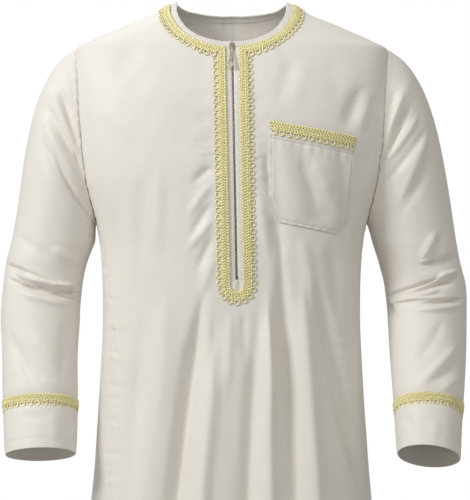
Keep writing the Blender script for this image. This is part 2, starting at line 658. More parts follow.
def corded(name, paths, radii, sides, out, squash=1.0, closed=False):
    """Mesh of round cords: rings of points in the plane across each path, with a point at the
    middle of each open end.

    paths is cords x points x 3, and out the direction that the ring's second axis follows. The UV
    map holds the way along in metres and the share of the way round."""
    cords, count = paths.shape[:2]
    if closed:
        run = unit(np.roll(paths, -1, axis=1) - np.roll(paths, 1, axis=1))
    else:
        run = unit(np.gradient(paths, axis=1))
    aside = unit(np.cross(run, out))
    lift = np.cross(aside, run)
    angle = np.arange(sides)[:, None] * 2 * math.pi / sides
    radii = np.broadcast_to(radii, (cords, count))[..., None, None]
    points = (paths[:, :, None] + radii * (aside[:, :, None] * np.cos(angle)
                                           + squash * lift[:, :, None] * np.sin(angle)))
    points = points.reshape(-1, 3)
    number = np.arange(cords * count * sides).reshape(cords, count, sides)
    way = lengths_along(paths, 1)
    here, ahead = (number, np.roll(number, -1, axis=1)) if closed else (number[:, :-1],
                                                                       number[:, 1:])
    quads = np.stack([here, np.roll(here, -1, axis=2), np.roll(ahead, -1, axis=2), ahead], axis=-1)
    if closed:
        last = np.linalg.norm(paths[:, :1] - paths[:, -1:], axis=-1) + way[:, -1:]
        way = np.concatenate([way, last], axis=1)
    turn = np.arange(sides + 1) / sides
    low, high, left, right = (np.broadcast_to(part, here.shape) for part in (
        way[:, :-1, None], way[:, 1:, None], turn[:-1], turn[1:]))
    uv = np.stack([low, left, low, right, high, right, high, left], axis=-1).reshape(-1, 4, 2)
    quads = quads.reshape(-1, 4)
    if closed:
        return put_mesh(name, points, quads, uv)
    middle = len(points) + np.arange(2 * cords)[:, None]
    first, final = number[:, 0], number[:, -1]
    fans = np.concatenate([
        np.stack([np.roll(first, -1, axis=1), first, middle[:cords] + 0 * first], axis=-1),
        np.stack([final, np.roll(final, -1, axis=1), middle[cords:] + 0 * final], axis=-1)])
    fans = fans.reshape(-1, 3)
    points = np.concatenate([points, paths[:, 0], paths[:, -1]])
    corners = np.concatenate([uv.reshape(-1, 2), np.zeros((fans.size, 2))])
    return put_mesh(name, points, quads, corners, fans)


# ---------------------------------------------------------------- front and back
NECK_ROWS = (BINDING_WIDTH + SEAM_GAP, 0.0225, 0.0330, 0.048, 0.070, 0.098, 0.130, 0.160)
FRONT_ARMHOLE_DEGREES = (9, 29, 49, 69, 89, 109, 130, 150, 170)
FRONT_MIDDLES = (-0.257, -0.270, -0.284, -0.299, -0.315, -0.332, -0.347, -0.362)
BACK_ARMHOLE_DEGREES = (9, -10, -31, -53, -75, -97, -120, -142, -165, -190)
BACK_MIDDLES = (-0.214, -0.228, -0.246, -0.265, -0.286, -0.308, -0.328, -0.346, -0.362)
SKIRT_TOP = -0.385
SKIRT_CLOSE = -0.800
NECK_COUNT, ARM_COUNT, SKIRT_COUNT, LOW_COUNT = 41, 46, 84, 66
SEAM_ROLL = 0.0004
SEAM_ROLL_REACH = 0.0016
PUCKER_REACH = 0.011
PUCKER_SEEDS = {True: 4.1, False: 1.3}
HEM_FOLD = 0.030
FROM_ZIP = (SLIT_HALF, 0.0023, 0.0031, 0.0044, 0.0065, 0.0090, 0.0120, 0.0160, 0.0205, 0.0260,
            0.0325)


def tip_distance():
    """How far down the cloth the shoulder tip lies from the neck's edge."""
    turn, height = armhole(1, SHOULDER_TIP_TURN)
    tries = np.linspace(0.10, 0.24, 57)
    heights = below_neck(np.full(57, float(turn)), tries)
    return float(np.interp(-float(height), -heights, tries))


def panel_grid(columns_of, sides, degrees, middles, middle_turn):
    """Turn and height of each point of a panel.

    The first rows keep their distance from the neck. From the shoulder tip down each row bends
    from its height at the panel's middle to its end on the armhole or side seam, in the shape of
    the shoulder row, which levels out towards the hem."""
    tip = tip_distance()
    distances = refined(list(NECK_ROWS) + [tip], NECK_COUNT)
    share = np.clip((distances - NECK_ROWS[-1]) / (tip - NECK_ROWS[-1]), 0, 1)
    tip_turn = float(armhole(1, SHOULDER_TIP_TURN)[0])
    seam = np.radians(at(SHOULDER_SEAM, "turn", distances))
    seam = seam + share * (tip_turn - math.radians(at(SHOULDER_SEAM, "turn", tip)))
    tip_middle = float(below_neck(middle_turn, tip))
    arm_turn, arm_height = armhole(1, np.radians(refined(degrees, ARM_COUNT))[1:])
    middle = refined([tip_middle] + list(middles), ARM_COUNT)[1:]
    skirt = np.concatenate([np.linspace(top, low, count)[1:] for top, low, count in (
        (middle[-1], SKIRT_TOP, 6), (SKIRT_TOP, SLIT_END, 14), (SLIT_END, SKIRT_CLOSE, SKIRT_COUNT),
        (SKIRT_CLOSE, HEM_HEIGHT, LOW_COUNT))])
    middle = np.concatenate([middle, skirt])
    fade = np.clip((skirt - SKIRT_TOP) / (middles[-1] - SKIRT_TOP), 0, 1)
    edges = []
    for side in sides:
        name = "left" if side > 0 else "right"
        skirt_edge = skirt + fade * (arm_height[-1] - middles[-1])
        start_turn = arm_turn[-1] - math.radians(at(SIDE_SEAM, name, arm_height[-1]))
        skirt_turn = np.radians(at(SIDE_SEAM, name, skirt_edge)) + fade * start_turn
        turns = np.concatenate([seam, arm_turn, skirt_turn])
        heights = np.concatenate([below_neck(seam, distances), arm_height, skirt_edge])
        edges.append((side * turns, heights))
    first = len(distances)
    top_heights = below_neck(np.full(first, middle_turn), distances)
    turns = columns_of(np.concatenate([top_heights, middle]), edges)
    height = np.empty(turns.shape)
    height[:first] = below_neck(turns[:first], distances[:, None])
    turned_round = np.linspace(-math.pi, 2 * math.pi, 901)
    tip_line = below_neck(turned_round, tip)
    lower = slice(first, None)
    for edge_turn, edge_height in edges:
        turned = edge_turn if middle_turn == 0 or edge_turn[0] > 0 else edge_turn + 2 * math.pi
        share = (turns[lower] - middle_turn) / (turned[lower, None] - middle_turn)
        probe = middle_turn + np.clip(share, 0, 1) * (turned[first - 1] - middle_turn)
        drop = np.interp(probe, turned_round, tip_line) - tip_middle
        shape = drop / float(np.interp(turned[first - 1], turned_round, tip_line) - tip_middle)
        level = middle[:, None] + (edge_height[lower, None] - middle[:, None]) * shape
        height[lower] = np.where((share >= 0) & (share <= 1.0001), level, height[lower])
    return turns[::-1], height[::-1]


def front_columns(heights, edges):
    """Columns that run down beside the zip, and then spread to the panel's two edges."""
    shares = np.concatenate([np.linspace(0, 0.962, 46)[1:], [0.970, 0.978, 0.985, 0.990, 0.995, 1]])
    middle = zip_side(heights)[:, None]
    aside = np.array(FROM_ZIP)
    left = turn_at(middle + aside, heights[:, None])
    right = turn_at(middle - aside, heights[:, None])
    far_left = left[:, -1:] + (edges[1][0][:, None] - left[:, -1:]) * shares
    far_right = right[:, -1:] + (edges[0][0][:, None] - right[:, -1:]) * shares
    return np.concatenate([far_right[:, ::-1], right[:, ::-1], left, far_left], axis=1)


def back_columns(heights, edges):
    """Columns spread evenly from one side seam round the back to the other, closer at the ends."""
    half = np.concatenate([[0, 0.004, 0.008, 0.012, 0.018, 0.025], np.linspace(0.036, 1, 52)])
    left = edges[0][0][:, None]
    right = edges[1][0][:, None] + 2 * math.pi
    return np.concatenate([left + (math.pi - left) * half,
                           math.pi + (right - math.pi) * (1 - half[-2::-1])], axis=1)


def sewn(away, along, roll, pucker, seed):
    """Height of the cloth beside a seam: it turns down at the edge and is drawn into small waves
    whose crests lie across the seam and fade away from it."""
    waves = (0.5 * np.sin(along * 360 + seed) + 0.35 * np.sin(along * 231 + 2.1 * seed)
             + 0.3 * np.sin(along * 560 + 0.7 * seed) * np.sin(along * 37 + seed))
    return (-roll * np.exp(-(away / SEAM_ROLL_REACH)**2)
            + pucker * waves * np.exp(-away / PUCKER_REACH))


def panel_points(turns, heights, front):
    """Outer and inner points of a panel: the body's surface, drawn in at each seam and hem."""
    points = body(turns, heights)
    reach = np.linalg.norm(points[..., :2], axis=-1)
    pucker = (0.00055 * ease((ARMHOLE_TOP - 0.004 - heights) / 0.01)
              + 0.00085 * ease((-0.36 - heights) / 0.02))
    left_first = turns[0, 0] > 0
    first, last = (sewn(abs(turns - turns[:, edge]) * reach, lengths_along(points[:, edge], 0),
                        SEAM_ROLL, pucker, PUCKER_SEEDS[seed])
                   for edge, seed in ((slice(0, 1), left_first), (slice(-1, None), not left_first)))
    below = neck_height(turns) - heights
    neck = sewn(below * 1.2, turns * 0.09, 0.0003, 0.0002, 2.2) * ease((0.05 - below) / 0.02)
    lift = first + last + neck
    if front:
        aside = abs(points[..., 0] - zip_side(heights)) - SLIT_HALF
        open_part = ease((heights - SLIT_END) / 0.004)
        along = lengths_along(points, 0)
        lift = lift + open_part * sewn(np.maximum(aside, 0), along, 0.0007, 0.00012, 3.0)
    hem = heights - HEM_HEIGHT
    lift = (lift - 0.0006 * np.exp(-((hem - HEM_FOLD) / 0.004)**2)
            - 0.0005 * np.exp(-(hem / 0.002)**2))
    normals = body_normals(turns, heights)
    outer = points + normals * lift[..., None]
    return outer, outer - CLOTH * normals


# ---------------------------------------------------------------- sleeves
def sleeve(side):
    """Surface of one sleeve: an angle round it, and 0 to 1 to 2 down its cap and arm.

    The cap is a cubic from the armhole's edge to the arm's top ring. The arm is a stack of tilted
    ovals read from its table. Creases move it along its normals."""
    arm = ARM_LEFT if side > 0 else ARM_RIGHT
    round_hole = np.linspace(0, 2 * math.pi, 721)
    hole = body(*armhole(side, round_hole))

    def ring(angle, height):
        """Oval at a height: a cosine to the side and a sine ahead, rolled and tilted."""
        tilt = np.radians(at(arm, "tilt", height))
        roll = np.radians(at(arm, "roll", height))
        across = at(arm, "half_width", height) * np.cos(angle)
        ahead = at(arm, "half_depth", height) * np.sin(angle)
        x = at(arm, "x", height) + across * np.cos(roll)
        y = at(arm, "y", height) - ahead * np.cos(tilt)
        z = height + ahead * np.sin(tilt) - across * np.sin(roll)
        return np.stack([side * x, y, z], axis=-1)

    def smooth(angle, down):
        """Hermite cubic from the armhole to the arm's top for the cap, and then the arm's rings."""
        angle, down = np.broadcast_arrays(angle, down)
        top = np.cos(angle)
        leave = unit(np.stack([side * (0.62 + 0.30 * top), -0.26 * np.sin(angle),
                               -0.70 + 0.28 * top], axis=-1))
        start = read_along(np.mod(angle, 2 * math.pi), round_hole, hole) - leave * SEAM_GAP
        end = ring(angle, np.full(angle.shape, ARM_TOP))
        arrive = np.array([ARM_LEAN_LEFT if side > 0 else -ARM_LEAN_RIGHT, 0, -1])
        length = (0.145 + 0.125 * top)[..., None]
        t = np.clip(down, 0, 1)[..., None]
        cap = ((2 * t**3 - 3 * t**2 + 1) * start + (3 * t**2 - 2 * t**3) * end
               + (t**3 - 2 * t**2 + t) * leave * length
               + (t**3 - t**2) * arrive * length * 1.05)
        height = ARM_TOP + (arm["height"][0] - ARM_TOP) * np.clip(down - 1, 0, 1)
        return np.where(down[..., None] <= 1, cap, ring(angle, height))

    def surface(angle, down):
        """The smooth sleeve moved along its normals by creases, folds and faint unevenness."""
        angle, down = np.broadcast_arrays(np.asarray(angle, float), np.asarray(down, float))
        points = smooth(angle, down)
        normals = side * normals_of(smooth, angle, down, (0.03, 0.01), (0, 2))
        front, back = creased(points, normals, 2, FRONT_CREASES, BACK_CREASES, True)
        fine_front, fine_back = creased(points, normals, 3, SLEEVE_FOLDS, BACK_FOLDS)
        calm = ease((2 - down) / 0.05)
        faint = UNEVENNESS * calm * ripple(angle * 0.06, points[..., 2], 5 + side)
        lift = ((front + fine_front) + (back + fine_back) + faint) * ease(down / 0.12)
        return points + normals * lift[..., None]

    return surface


def sleeve_normals(surface, side, angle, down):
    """Outward normals of a sleeve."""
    return side * normals_of(surface, angle, down, (0.012, 0.004), (0, 2))


def sleeve_grid(side, rounds, cap_rows, arm_rows):
    """Outer and inner points of a sleeve, with the head drawn into the armhole's seam and the
    cloth drawn in under the cuff's braid."""
    surface = sleeve(side)
    angles = np.linspace(0, 2 * math.pi, rounds, endpoint=False)
    caps = np.concatenate([[0, 0.006, 0.013, 0.022, 0.034], np.linspace(0.05, 1, cap_rows)])
    downs = np.concatenate([caps, np.linspace(1, 1.45, arm_rows)[1:],
                            np.linspace(1.45, 2, arm_rows // 2)[1:]])[::-1, None]
    angle, down = np.broadcast_arrays(angles, downs)
    points = surface(angle, down)
    normals = sleeve_normals(surface, side, angle, down)
    away = lengths_along(points[::-1], 0)[::-1]
    along = lengths_along(points[-1:], 1)
    edge = away.max(axis=0) - away
    band = edge - CUFF_TO_BAND + BAND_WIDTH / 2 + 0.0020
    lift = (sewn(away, along, SEAM_ROLL, 0.0009, 2.7)
            + 0.0009 * np.exp(-((away - 0.0045) / 0.0026)**2)
            - 0.0004 * np.exp(-(edge / SEAM_ROLL_REACH)**2)
            - CUFF_CINCH * ease((0.0150 - abs(band)) / 0.0070))
    outer = points + normals * lift[..., None]
    return outer, outer - CLOTH * normals


# ---------------------------------------------------------------- courses that trims follow
def laid(turn, height, lift):
    """Points over the front or back, raised along the body's normals."""
    turn, height, lift = np.broadcast_arrays(turn, height, lift)
    return body(turn, height) + body_normals(turn, height) * lift[..., None]


def beside_zip(side, height, lift):
    """Points over the front a distance to the side of the middle, at a height."""
    return laid(turn_at(side, height), np.asarray(height, float), lift)


def neck_course():
    """Along the neck from the zip round the wearer's left and the back, and out from the neck."""
    turns = np.linspace(0, 2 * math.pi, 361)
    line = body(turns, below_neck(turns, BINDING_WIDTH + BAND_WIDTH / 2))
    lengths = lengths_along(line, 0)
    start = ZIP_TOP_SIDE + BAND_INNER_HALF

    def place(along, across, lift):
        """The turn is looked up by length, and the height by the distance down the cloth."""
        along, across = np.broadcast_arrays(along, across)
        turn = np.interp(along + start, lengths, turns)
        return laid(turn, below_neck(turn, BINDING_WIDTH + 2 * SEAM_GAP + across), lift)

    return place, lengths[-1] - 2 * BAND_INNER_HALF


def placket_course():
    """Down the wearer's right of the zip, round its foot in a half circle and up the other side."""
    middle = BAND_INNER_HALF + BAND_WIDTH / 2
    foot_side = float(zip_side(U_CENTRE_HEIGHT))
    up = unit(np.array([-ZIP_LEAN, 1.0]))
    aside = np.array([up[1], -up[0]])
    top_turn = turn_at(BAND_INNER_HALF, -NECK_DROP_FRONT)
    top = float(below_neck(top_turn, BINDING_WIDTH + 2 * SEAM_GAP))
    straight = (top - U_CENTRE_HEIGHT) / up[1]
    bend = math.pi * middle

    def place(along, across, lift):
        """A straight, a half circle about the foot and a straight, in the front view."""
        along, across = np.broadcast_arrays(along, across)
        angle = np.clip((along - straight) / middle, 0, math.pi)
        radius = BAND_INNER_HALF + across
        rise = np.maximum(straight - along, 0) + np.maximum(along - straight - bend, 0)
        x, z = (centre + rise * up[axis] - radius * (aside[axis] * np.cos(angle)
                                                     + up[axis] * np.sin(angle))
                for axis, centre in enumerate((foot_side, U_CENTRE_HEIGHT)))
        return beside_zip(x, z, lift)

    def top_start(across):
        """Where a line beside the zip starts, so that the braid is mitred to the neck's."""
        side = BAND_INNER_HALF + across
        level = below_neck(turn_at(side, -0.09), BINDING_WIDTH + 2 * SEAM_GAP + across)
        return (top - float(level)) / up[1] + SEAM_GAP

    return place, 2 * straight + bend, top_start


POCKET_KNOTS = (0, 0.86, 1)
POCKET_INNER = np.array([POCKET_TOP_INNER, POCKET_SIDE_INNER, POCKET_LOW_INNER])
POCKET_OUTER = np.array([POCKET_TOP_OUTER, POCKET_SIDE_OUTER, POCKET_TIP])
POCKET_TOP_LENGTH = float(np.linalg.norm(POCKET_INNER[0] - POCKET_OUTER[0]))
POCKET_HEIGHT = float(np.linalg.norm(POCKET_INNER[0] - POCKET_INNER[1])) / POCKET_KNOTS[1]
POCKET_HEM = 0.0265
POCKET_CLEARANCE = 0.0017
POCKET_CLOTH = 0.0009


def pocket_spot(inwards, down):
    """Side and height of a point of the pocket: 0 to 1 from its inner side outwards, and down."""
    starts, ends = ([np.interp(down, POCKET_KNOTS, line[:, axis]) for axis in (0, 1)]
                    for line in (POCKET_INNER, POCKET_OUTER))
    return [start + (end - start) * inwards for start, end in zip(starts, ends)]


def pocket_lift(inwards, down):
    """How far the pocket's outer side stands off the front.

    It is flat at its sewn sides, swells a little between them and gapes at its top. A groove runs
    along the hem's stitches, crossed by small tucks, and another inside the sewn edge."""
    edge = np.minimum(np.minimum(inwards, 1 - inwards) * POCKET_TOP_LENGTH,
                      (1 - down) * POCKET_HEIGHT)
    swell = 0.0010 * ease(edge / 0.030)
    gape = 0.0012 * np.sin(math.pi * np.clip(inwards, 0, 1)) * ease(1 - down / 0.25)
    below_top = down * POCKET_HEIGHT
    along = inwards * POCKET_TOP_LENGTH
    hem = -0.0012 * np.exp(-((below_top - POCKET_HEM) / 0.0016)**2)
    tuck = np.sin(along * 260 + 0.8) * np.sin(along * 71 + 0.3) + 0.6 * np.sin(along * 431)
    tucks = 0.00080 * tuck * np.exp(-abs(below_top - POCKET_HEM - 0.004) / 0.006)
    sewn_in = -0.0008 * np.exp(-((edge - 0.0034) / 0.0012)**2) * ease(down / 0.02)
    pull = 0.00030 * np.sin((along + below_top) * 330) * np.exp(-edge / 0.005)
    soft = 0.0020 * np.sin(along * 95 - below_top * 34 + 1.0) * ease(edge / 0.02) * ease(down * 3)
    return (POCKET_CLEARANCE + 0.0006 * ease(edge / 0.005) + swell + gape + hem + tucks + sewn_in
            + pull + soft)


def pocket_course():
    """Along the pocket's top edge outwards, and down from it, over the pocket."""

    def place(along, across, lift):
        """The pocket's own surface, raised."""
        along, across = np.broadcast_arrays(along, across)
        inwards = along / POCKET_TOP_LENGTH
        down = (across + 0.0004) / POCKET_HEIGHT
        return beside_zip(*pocket_spot(inwards, down), lift + pocket_lift(inwards, down))

    return place, POCKET_TOP_LENGTH


def cuff_course(side):
    """Round a sleeve from its outer side by the front, and from the braid's top to the cuff."""
    surface = sleeve(side)
    downs = np.linspace(1, 2, 81)
    turns = np.linspace(0, 2 * math.pi, 16, endpoint=False)[:, None]
    lengths = lengths_along(np.mean(surface(turns, downs), axis=0), 0)
    to_cuff = lengths[-1] - lengths
    angles = np.linspace(0, 2 * math.pi, 73)
    level = np.interp(CUFF_TO_BAND - BAND_WIDTH, to_cuff[::-1], downs[::-1])
    round_it = lengths_along(surface(angles, np.full(73, level)), 0)

    def place(along, across, lift):
        """The angle is looked up by length round the cuff, and the way down by length to it."""
        along, across, lift = np.broadcast_arrays(along, across, lift)
        angle = np.interp(along, round_it, angles)
        down = np.interp(CUFF_TO_BAND - across, to_cuff[::-1], downs[::-1])
        outward = sleeve_normals(surface, side, angle, down)
        return surface(angle, down) + outward * (lift - CUFF_CINCH)[..., None]

    return place, float(round_it[36]), float(round_it[-1])


def raised(place, along, across, lift):
    """Points along a course at a lift, and directions out of the cloth there."""
    points = place(along, across, lift)
    return points, unit(points - place(along, across, lift - 0.001))


# ---------------------------------------------------------------- braid
STRANDS = 5
RING_CENTRE = 0.0154
PLAIT_EDGES = (-0.0012, 0.0110)


def between(starts, ends, across, share):
    """Way along a band at a share of its length. Its ends may be cut at a slant."""
    begin = starts[0] + (starts[1] - starts[0]) * across / BAND_WIDTH
    finish = ends[0] + (ends[1] - ends[0]) * across / BAND_WIDTH
    return begin + (finish - begin) * share


def plait(name, place, starts, ends, strand, pitch):
    """Flat plait: each strand sways across the band as a sine and dives under and over its
    neighbours as a faster sine, so two strands that cross lie at opposite heights."""
    turns = max(2, round(float(np.mean(ends - starts)) / pitch))
    share = np.linspace(0, 1, turns * 24 + 1)
    phase = 2 * math.pi * (turns * share + np.arange(STRANDS)[:, None] / STRANDS)
    half = (PLAIT_EDGES[1] - PLAIT_EDGES[0]) / 2 - strand
    across = sum(PLAIT_EDGES) / 2 + half * np.sin(phase)
    lift = 0.0016 + 0.00085 * np.sin((STRANDS - 1) * phase)
    paths, out = raised(place, between(starts, ends, across, share), across, lift)
    return corded(name, paths, strand, 6, out, 0.85)


def backing(name, place, starts, ends):
    """Thin woven strip under the plait, a grid between two edges with a slight crown."""
    count = max(6, round(float(np.mean(ends - starts)) / 0.004))
    across = np.linspace(PLAIT_EDGES[0] + 0.0005, PLAIT_EDGES[1] - 0.0004, 6)
    along = between(starts, ends, across, np.linspace(0, 1, count)[:, None])
    across = np.broadcast_to(across, along.shape)
    crown = 0.0003 * (1 - ((across / BAND_WIDTH - 0.5) * 2)**2)
    return wall(name, place(along, across, 0.0010 + crown),
                place(along, across, 0.0003 + 0 * crown))


def rings(name, place, start, end, radius, cord):
    """Looped edge: closed rings side by side that tilt over each other, on a cord that waves
    along the band's edge. They are spaced evenly by the length of the line through their middles.
    """
    run = np.linspace(start, end, max(24, round((end - start) / 0.0015)))
    way = lengths_along(place(run, RING_CENTRE, 0.0), 0)
    count = max(1, round(way[-1] / LOOP_PITCH))
    spots = (np.arange(count)[:, None] + 0.5) * way[-1] / count
    middle = np.interp(spots, way, run)
    stretch = np.interp(spots, way, np.gradient(run) / np.gradient(way))
    phase = np.arange(24) * 2 * math.pi / 24
    wobble = 1 + 0.05 * np.sin(2 * phase + middle * 700)
    along = middle + stretch * radius * 1.04 * wobble * np.sin(phase)
    across = RING_CENTRE - radius * wobble * np.cos(phase)
    lift = 0.0013 + 0.00060 * np.sin(phase + 0.5)
    paths, out = raised(place, along, across, lift)
    loops = corded(name, paths, cord, 7, out, 0.9, closed=True)
    fine = np.linspace(0, way[-1], count * 8 + 1)[None]
    wave = 0.0004 * np.cos(fine * 2 * math.pi * count / way[-1])
    along = np.interp(fine, way, run)
    paths, out = raised(place, along, PLAIT_EDGES[1] + 0.0004 + wave, 0.0014 + 0 * along)
    edge = corded(name + "_edge", paths, cord * 0.9, 7, out, 0.9)
    joined = bmesh.new()
    joined.from_mesh(loops)
    joined.from_mesh(edge)
    joined.to_mesh(loops)
    joined.free()
    bpy.data.meshes.remove(edge)
    return loops


# ---------------------------------------------------------------- sewing and metal shapes
STITCH_RADIUS = 0.00022
STITCH_SINK = 0.00010


def stitches(name, line, outward, pitch):
    """Row of stitches: short threads that dip into the cloth at both ends, at even steps of the
    way along a line."""
    way = lengths_along(line, 0)
    count = max(1, int(way[-1] / pitch))
    shifts = np.array([-0.36, -0.2, 0, 0.2, 0.36]) * pitch
    spots = (np.arange(count)[:, None] + 0.5) * pitch + shifts
    rise = np.array([-1.2, 0.5, 0.9, 0.5, -1.2]) * STITCH_RADIUS - STITCH_SINK
    out = unit(read_along(spots, way, outward))
    return corded(name, read_along(spots, way, line) + out * rise[:, None], STITCH_RADIUS, 5, out)


def rounded(centres, axes, halves, power, around, up):
    """Rounded blocks: latitude and longitude on a ball whose sines and cosines are raised to a
    small power, one block for each centre. Returns points and quads."""
    lat = np.linspace(-0.5, 0.5, up) * math.pi
    lon = np.arange(around) * 2 * math.pi / around

    def curl(value):
        """A value's size to the power, with its sign."""
        return np.sign(value) * abs(value)**power

    level = curl(np.cos(lat))[:, None]
    local = np.stack([level * curl(np.cos(lon)), level * curl(np.sin(lon)),
                      curl(np.sin(lat))[:, None] * np.ones(around)], axis=-1) * halves
    points = centres[:, None, None] + np.einsum("ruk,nkj->nruj", local, axes)
    quads = cells(np.arange(up * around).reshape(up, around)).reshape(-1, 4)
    block = np.arange(len(centres))[:, None, None] * up * around
    return points.reshape(-1, 3), (quads + block).reshape(-1, 4)


def block_mesh(name, parts):
    """One mesh of several sets of rounded blocks, with their poles closed."""
    points, quads = zip(*parts)
    shifts = np.cumsum([0] + [len(part) for part in points])
    mesh = put_mesh(name, np.concatenate(points),
                    np.concatenate([part + shift for part, shift in zip(quads, shifts)]))
    loose = bmesh.new()
    loose.from_mesh(mesh)
    bmesh.ops.remove_doubles(loose, verts=loose.verts, dist=1e-7)
    bmesh.ops.recalc_face_normals(loose, faces=loose.faces)
    loose.to_mesh(mesh)
    loose.free()
    return mesh


# ---------------------------------------------------------------- pieces
def make_panel(name, columns_of, sides, degrees, middles, middle_turn, look):
    """Front or back as one wall. The front is slit down to the zip's foot."""
    turns, heights = panel_grid(columns_of, sides, degrees, middles, middle_turn)
    front = name == "front"
    missing = np.zeros((turns.shape[0] - 1, turns.shape[1] - 1), bool)
    if front:
        middle = turns.shape[1] // 2 - 1
        missing[:, middle] = heights[:-1, middle] > SLIT_END - 0.0005
    mesh = wall(name + "_cloth", *panel_points(turns, heights, front), missing=missing)
    show(name + "_cloth", mesh, look, [name])


def binding_points(turns, radius):
    """Strip folded over the neck's edge: up the outside, half round the top and down inside.

    The profile is a straight, a half circle about the cloth's middle, and a shorter straight.
    Small sines along the neck draw it in and out."""
    edge = body(turns, neck_height(turns))
    normals = body_normals(turns, neck_height(turns))
    upward = unit(edge - body(turns, below_neck(turns, 0.002)))
    middle = -0.0005
    outside = np.linspace(BINDING_WIDTH, 0.0012, 7)[:, None]
    angles = np.linspace(0, math.pi, 8)[:, None, None]
    inside = np.linspace(0.0016, 0.0130, 6)[:, None]
    top = edge - 0.0010 * upward + normals * middle
    points = np.concatenate([
        laid(turns, below_neck(turns, outside),
             middle + radius - 0.0004 * ease((outside - 0.0095) / 0.0015)),
        top + radius * (normals * np.cos(angles) + upward * np.sin(angles)),
        laid(turns, below_neck(turns, inside), middle - radius)])
    out = unit(np.cross(np.gradient(points, axis=1), np.gradient(points, axis=0)))
    rows = np.linspace(0, 1, len(points))[:, None]
    drawn = (0.00022 * np.sin(turns * 61 + rows * 9 + 0.8 * np.sin(turns * 13))
             * np.sin(rows * math.pi))
    return points + out * drawn[..., None]


def make_binding(look):
    """Neck binding, open at the zip."""
    level = float(neck_height(0.0))
    right, left = turn_at(zip_side(level) + np.array([-SLIT_HALF, SLIT_HALF]), level - 0.011)
    turns = np.linspace(float(left), 2 * math.pi + float(right), 260)
    outer, inner = (binding_points(turns, radius)[::-1] for radius in (0.00125, 0.00070))
    show("neck_strip", wall("neck_strip", outer, inner), look, ["neck_binding"])


def make_pocket(look):
    """Pocket: a wall over the front, low at its sewn edges and slightly open at its top."""
    edge = np.linspace(0, 0.048, 9)
    across = np.concatenate([edge, np.linspace(0.06, 0.94, 66), 1 - edge[::-1]])
    down = np.concatenate([np.linspace(0, 0.86, 106), np.linspace(0.86, 1, 19)[1:]])
    inwards, low = np.meshgrid(across, down[::-1])
    outer, inner = (beside_zip(*pocket_spot(inwards, low), pocket_lift(inwards, low) - sink)
                    for sink in (0, POCKET_CLOTH))
    show("chest_pocket", wall("chest_pocket", outer, inner), look, ["pocket"])


def make_braid(looks, settings):
    """Every length of braid: a woven backing, a plait and the looped cord beside it. Returns the
    names of the pieces by the cloth that they are sewn to."""
    thread, under = looks
    made = {}

    def add(owner, part, place, starts, ends, first, last):
        """A length of braid between slanted ends, with its loops from first to last."""
        label, node = "braid_" + part, "gimp_" + part
        show(label + "_backing", backing(label + "_backing", place, starts, ends), under)
        show(label + "_plait", plait(label + "_plait", place, starts, ends,
                                     settings.strand_radius, settings.plait_pitch),
             thread, [node])
        show(label + "_loops", rings(label + "_loops", place, first, last, settings.ring_radius,
                                     settings.ring_cord), thread, [node + "_loops"])
        made.setdefault(owner, []).extend(label + end for end in ("_backing", "_plait", "_loops"))

    reach = BAND_WIDTH + LOOP_REACH_GAP
    neck, length = neck_course()
    mitre = np.array([SEAM_GAP, BAND_WIDTH + SEAM_GAP])
    add("front", "neck", neck, mitre, length - mitre, reach + 0.0008, length - reach - 0.0008)
    placket, length, top_start = placket_course()
    starts = np.array([top_start(0), top_start(BAND_WIDTH)])
    first = top_start(0.0200)
    add("front", "placket", placket, starts, length - starts, first, length - first)
    top, length = pocket_course()
    ends = np.array([0.0008, 0.0008])
    add("pocket", "pocket", top, ends, length - ends, 0.001, length - 0.001)
    for side, name in SIDES:
        cuff, half, whole = cuff_course(side)
        for part, start, end in (("front", 0, half), ("back", half, whole)):
            add("sleeve_" + name, f"cuff_{name}_{part}", cuff, np.array([start, start]) + SEAM_GAP,
                np.array([end, end]) - SEAM_GAP, start, end)
    return made


def zip_place(height, aside, depth):
    """Point and axes beside the zip: to the side, up and outwards."""
    turn = turn_at(zip_side(height) + aside, height)
    normals = body_normals(turn, height)
    up = unit(body(turn_at(zip_side(height + 0.002), height + 0.002), height + 0.002)
              - body(turn_at(zip_side(height), height), height))
    side = unit(np.cross(up, -normals))
    return body(turn, height) + normals * depth, np.stack([side, up, normals], axis=-2)


def make_teeth(look, pitch):
    """Two rows of small rounded teeth, set half a pitch apart so that they close together."""
    top = SLIDER_HEIGHT - SLIDER_LENGTH / 2 - 0.0006
    low = ZIP_STOP_HEIGHT + ZIP_STOP_LENGTH / 2 + 0.0008
    parts = []
    for aside, shift in ((0.00042, 0.25), (-0.00042, 0.75)):
        heights = low + (np.arange(int((top - low) / pitch)) + shift) * pitch
        parts.append(rounded(*zip_place(heights, aside, -0.0011),
                             (0.00100, pitch * 0.245, 0.00095), 0.5, 8, 5))
    show("zip_teeth", block_mesh("zip_teeth", parts), look, ["zip_chain"])


def make_stop(look):
    """The zip's bottom stop: a low rounded block."""
    points, axes = zip_place(np.array([ZIP_STOP_HEIGHT]), 0.0, -0.0003)
    shell = rounded(points, axes, (0.00162, 0.00215, 0.00170), 0.35, 24, 13)
    show("zip_end", block_mesh("zip_end", [shell]), look, ["zip_stop"])


def make_tape(name, sides, node, look):
    """Zip tape: a flat strip under the cloth's edge."""
    heights = np.linspace(ZIP_STOP_HEIGHT - 0.010, -NECK_DROP_FRONT - 0.009, 90)[:, None]
    height, aside = np.broadcast_arrays(heights, np.linspace(*sides, 6))
    turn = turn_at(zip_side(height) + aside, height)
    points = body(turn, height)
    normals = body_normals(turn, height)
    mesh = wall(name, points - normals * 0.0019, points - normals * 0.0025)
    show(name, mesh, look, [node])


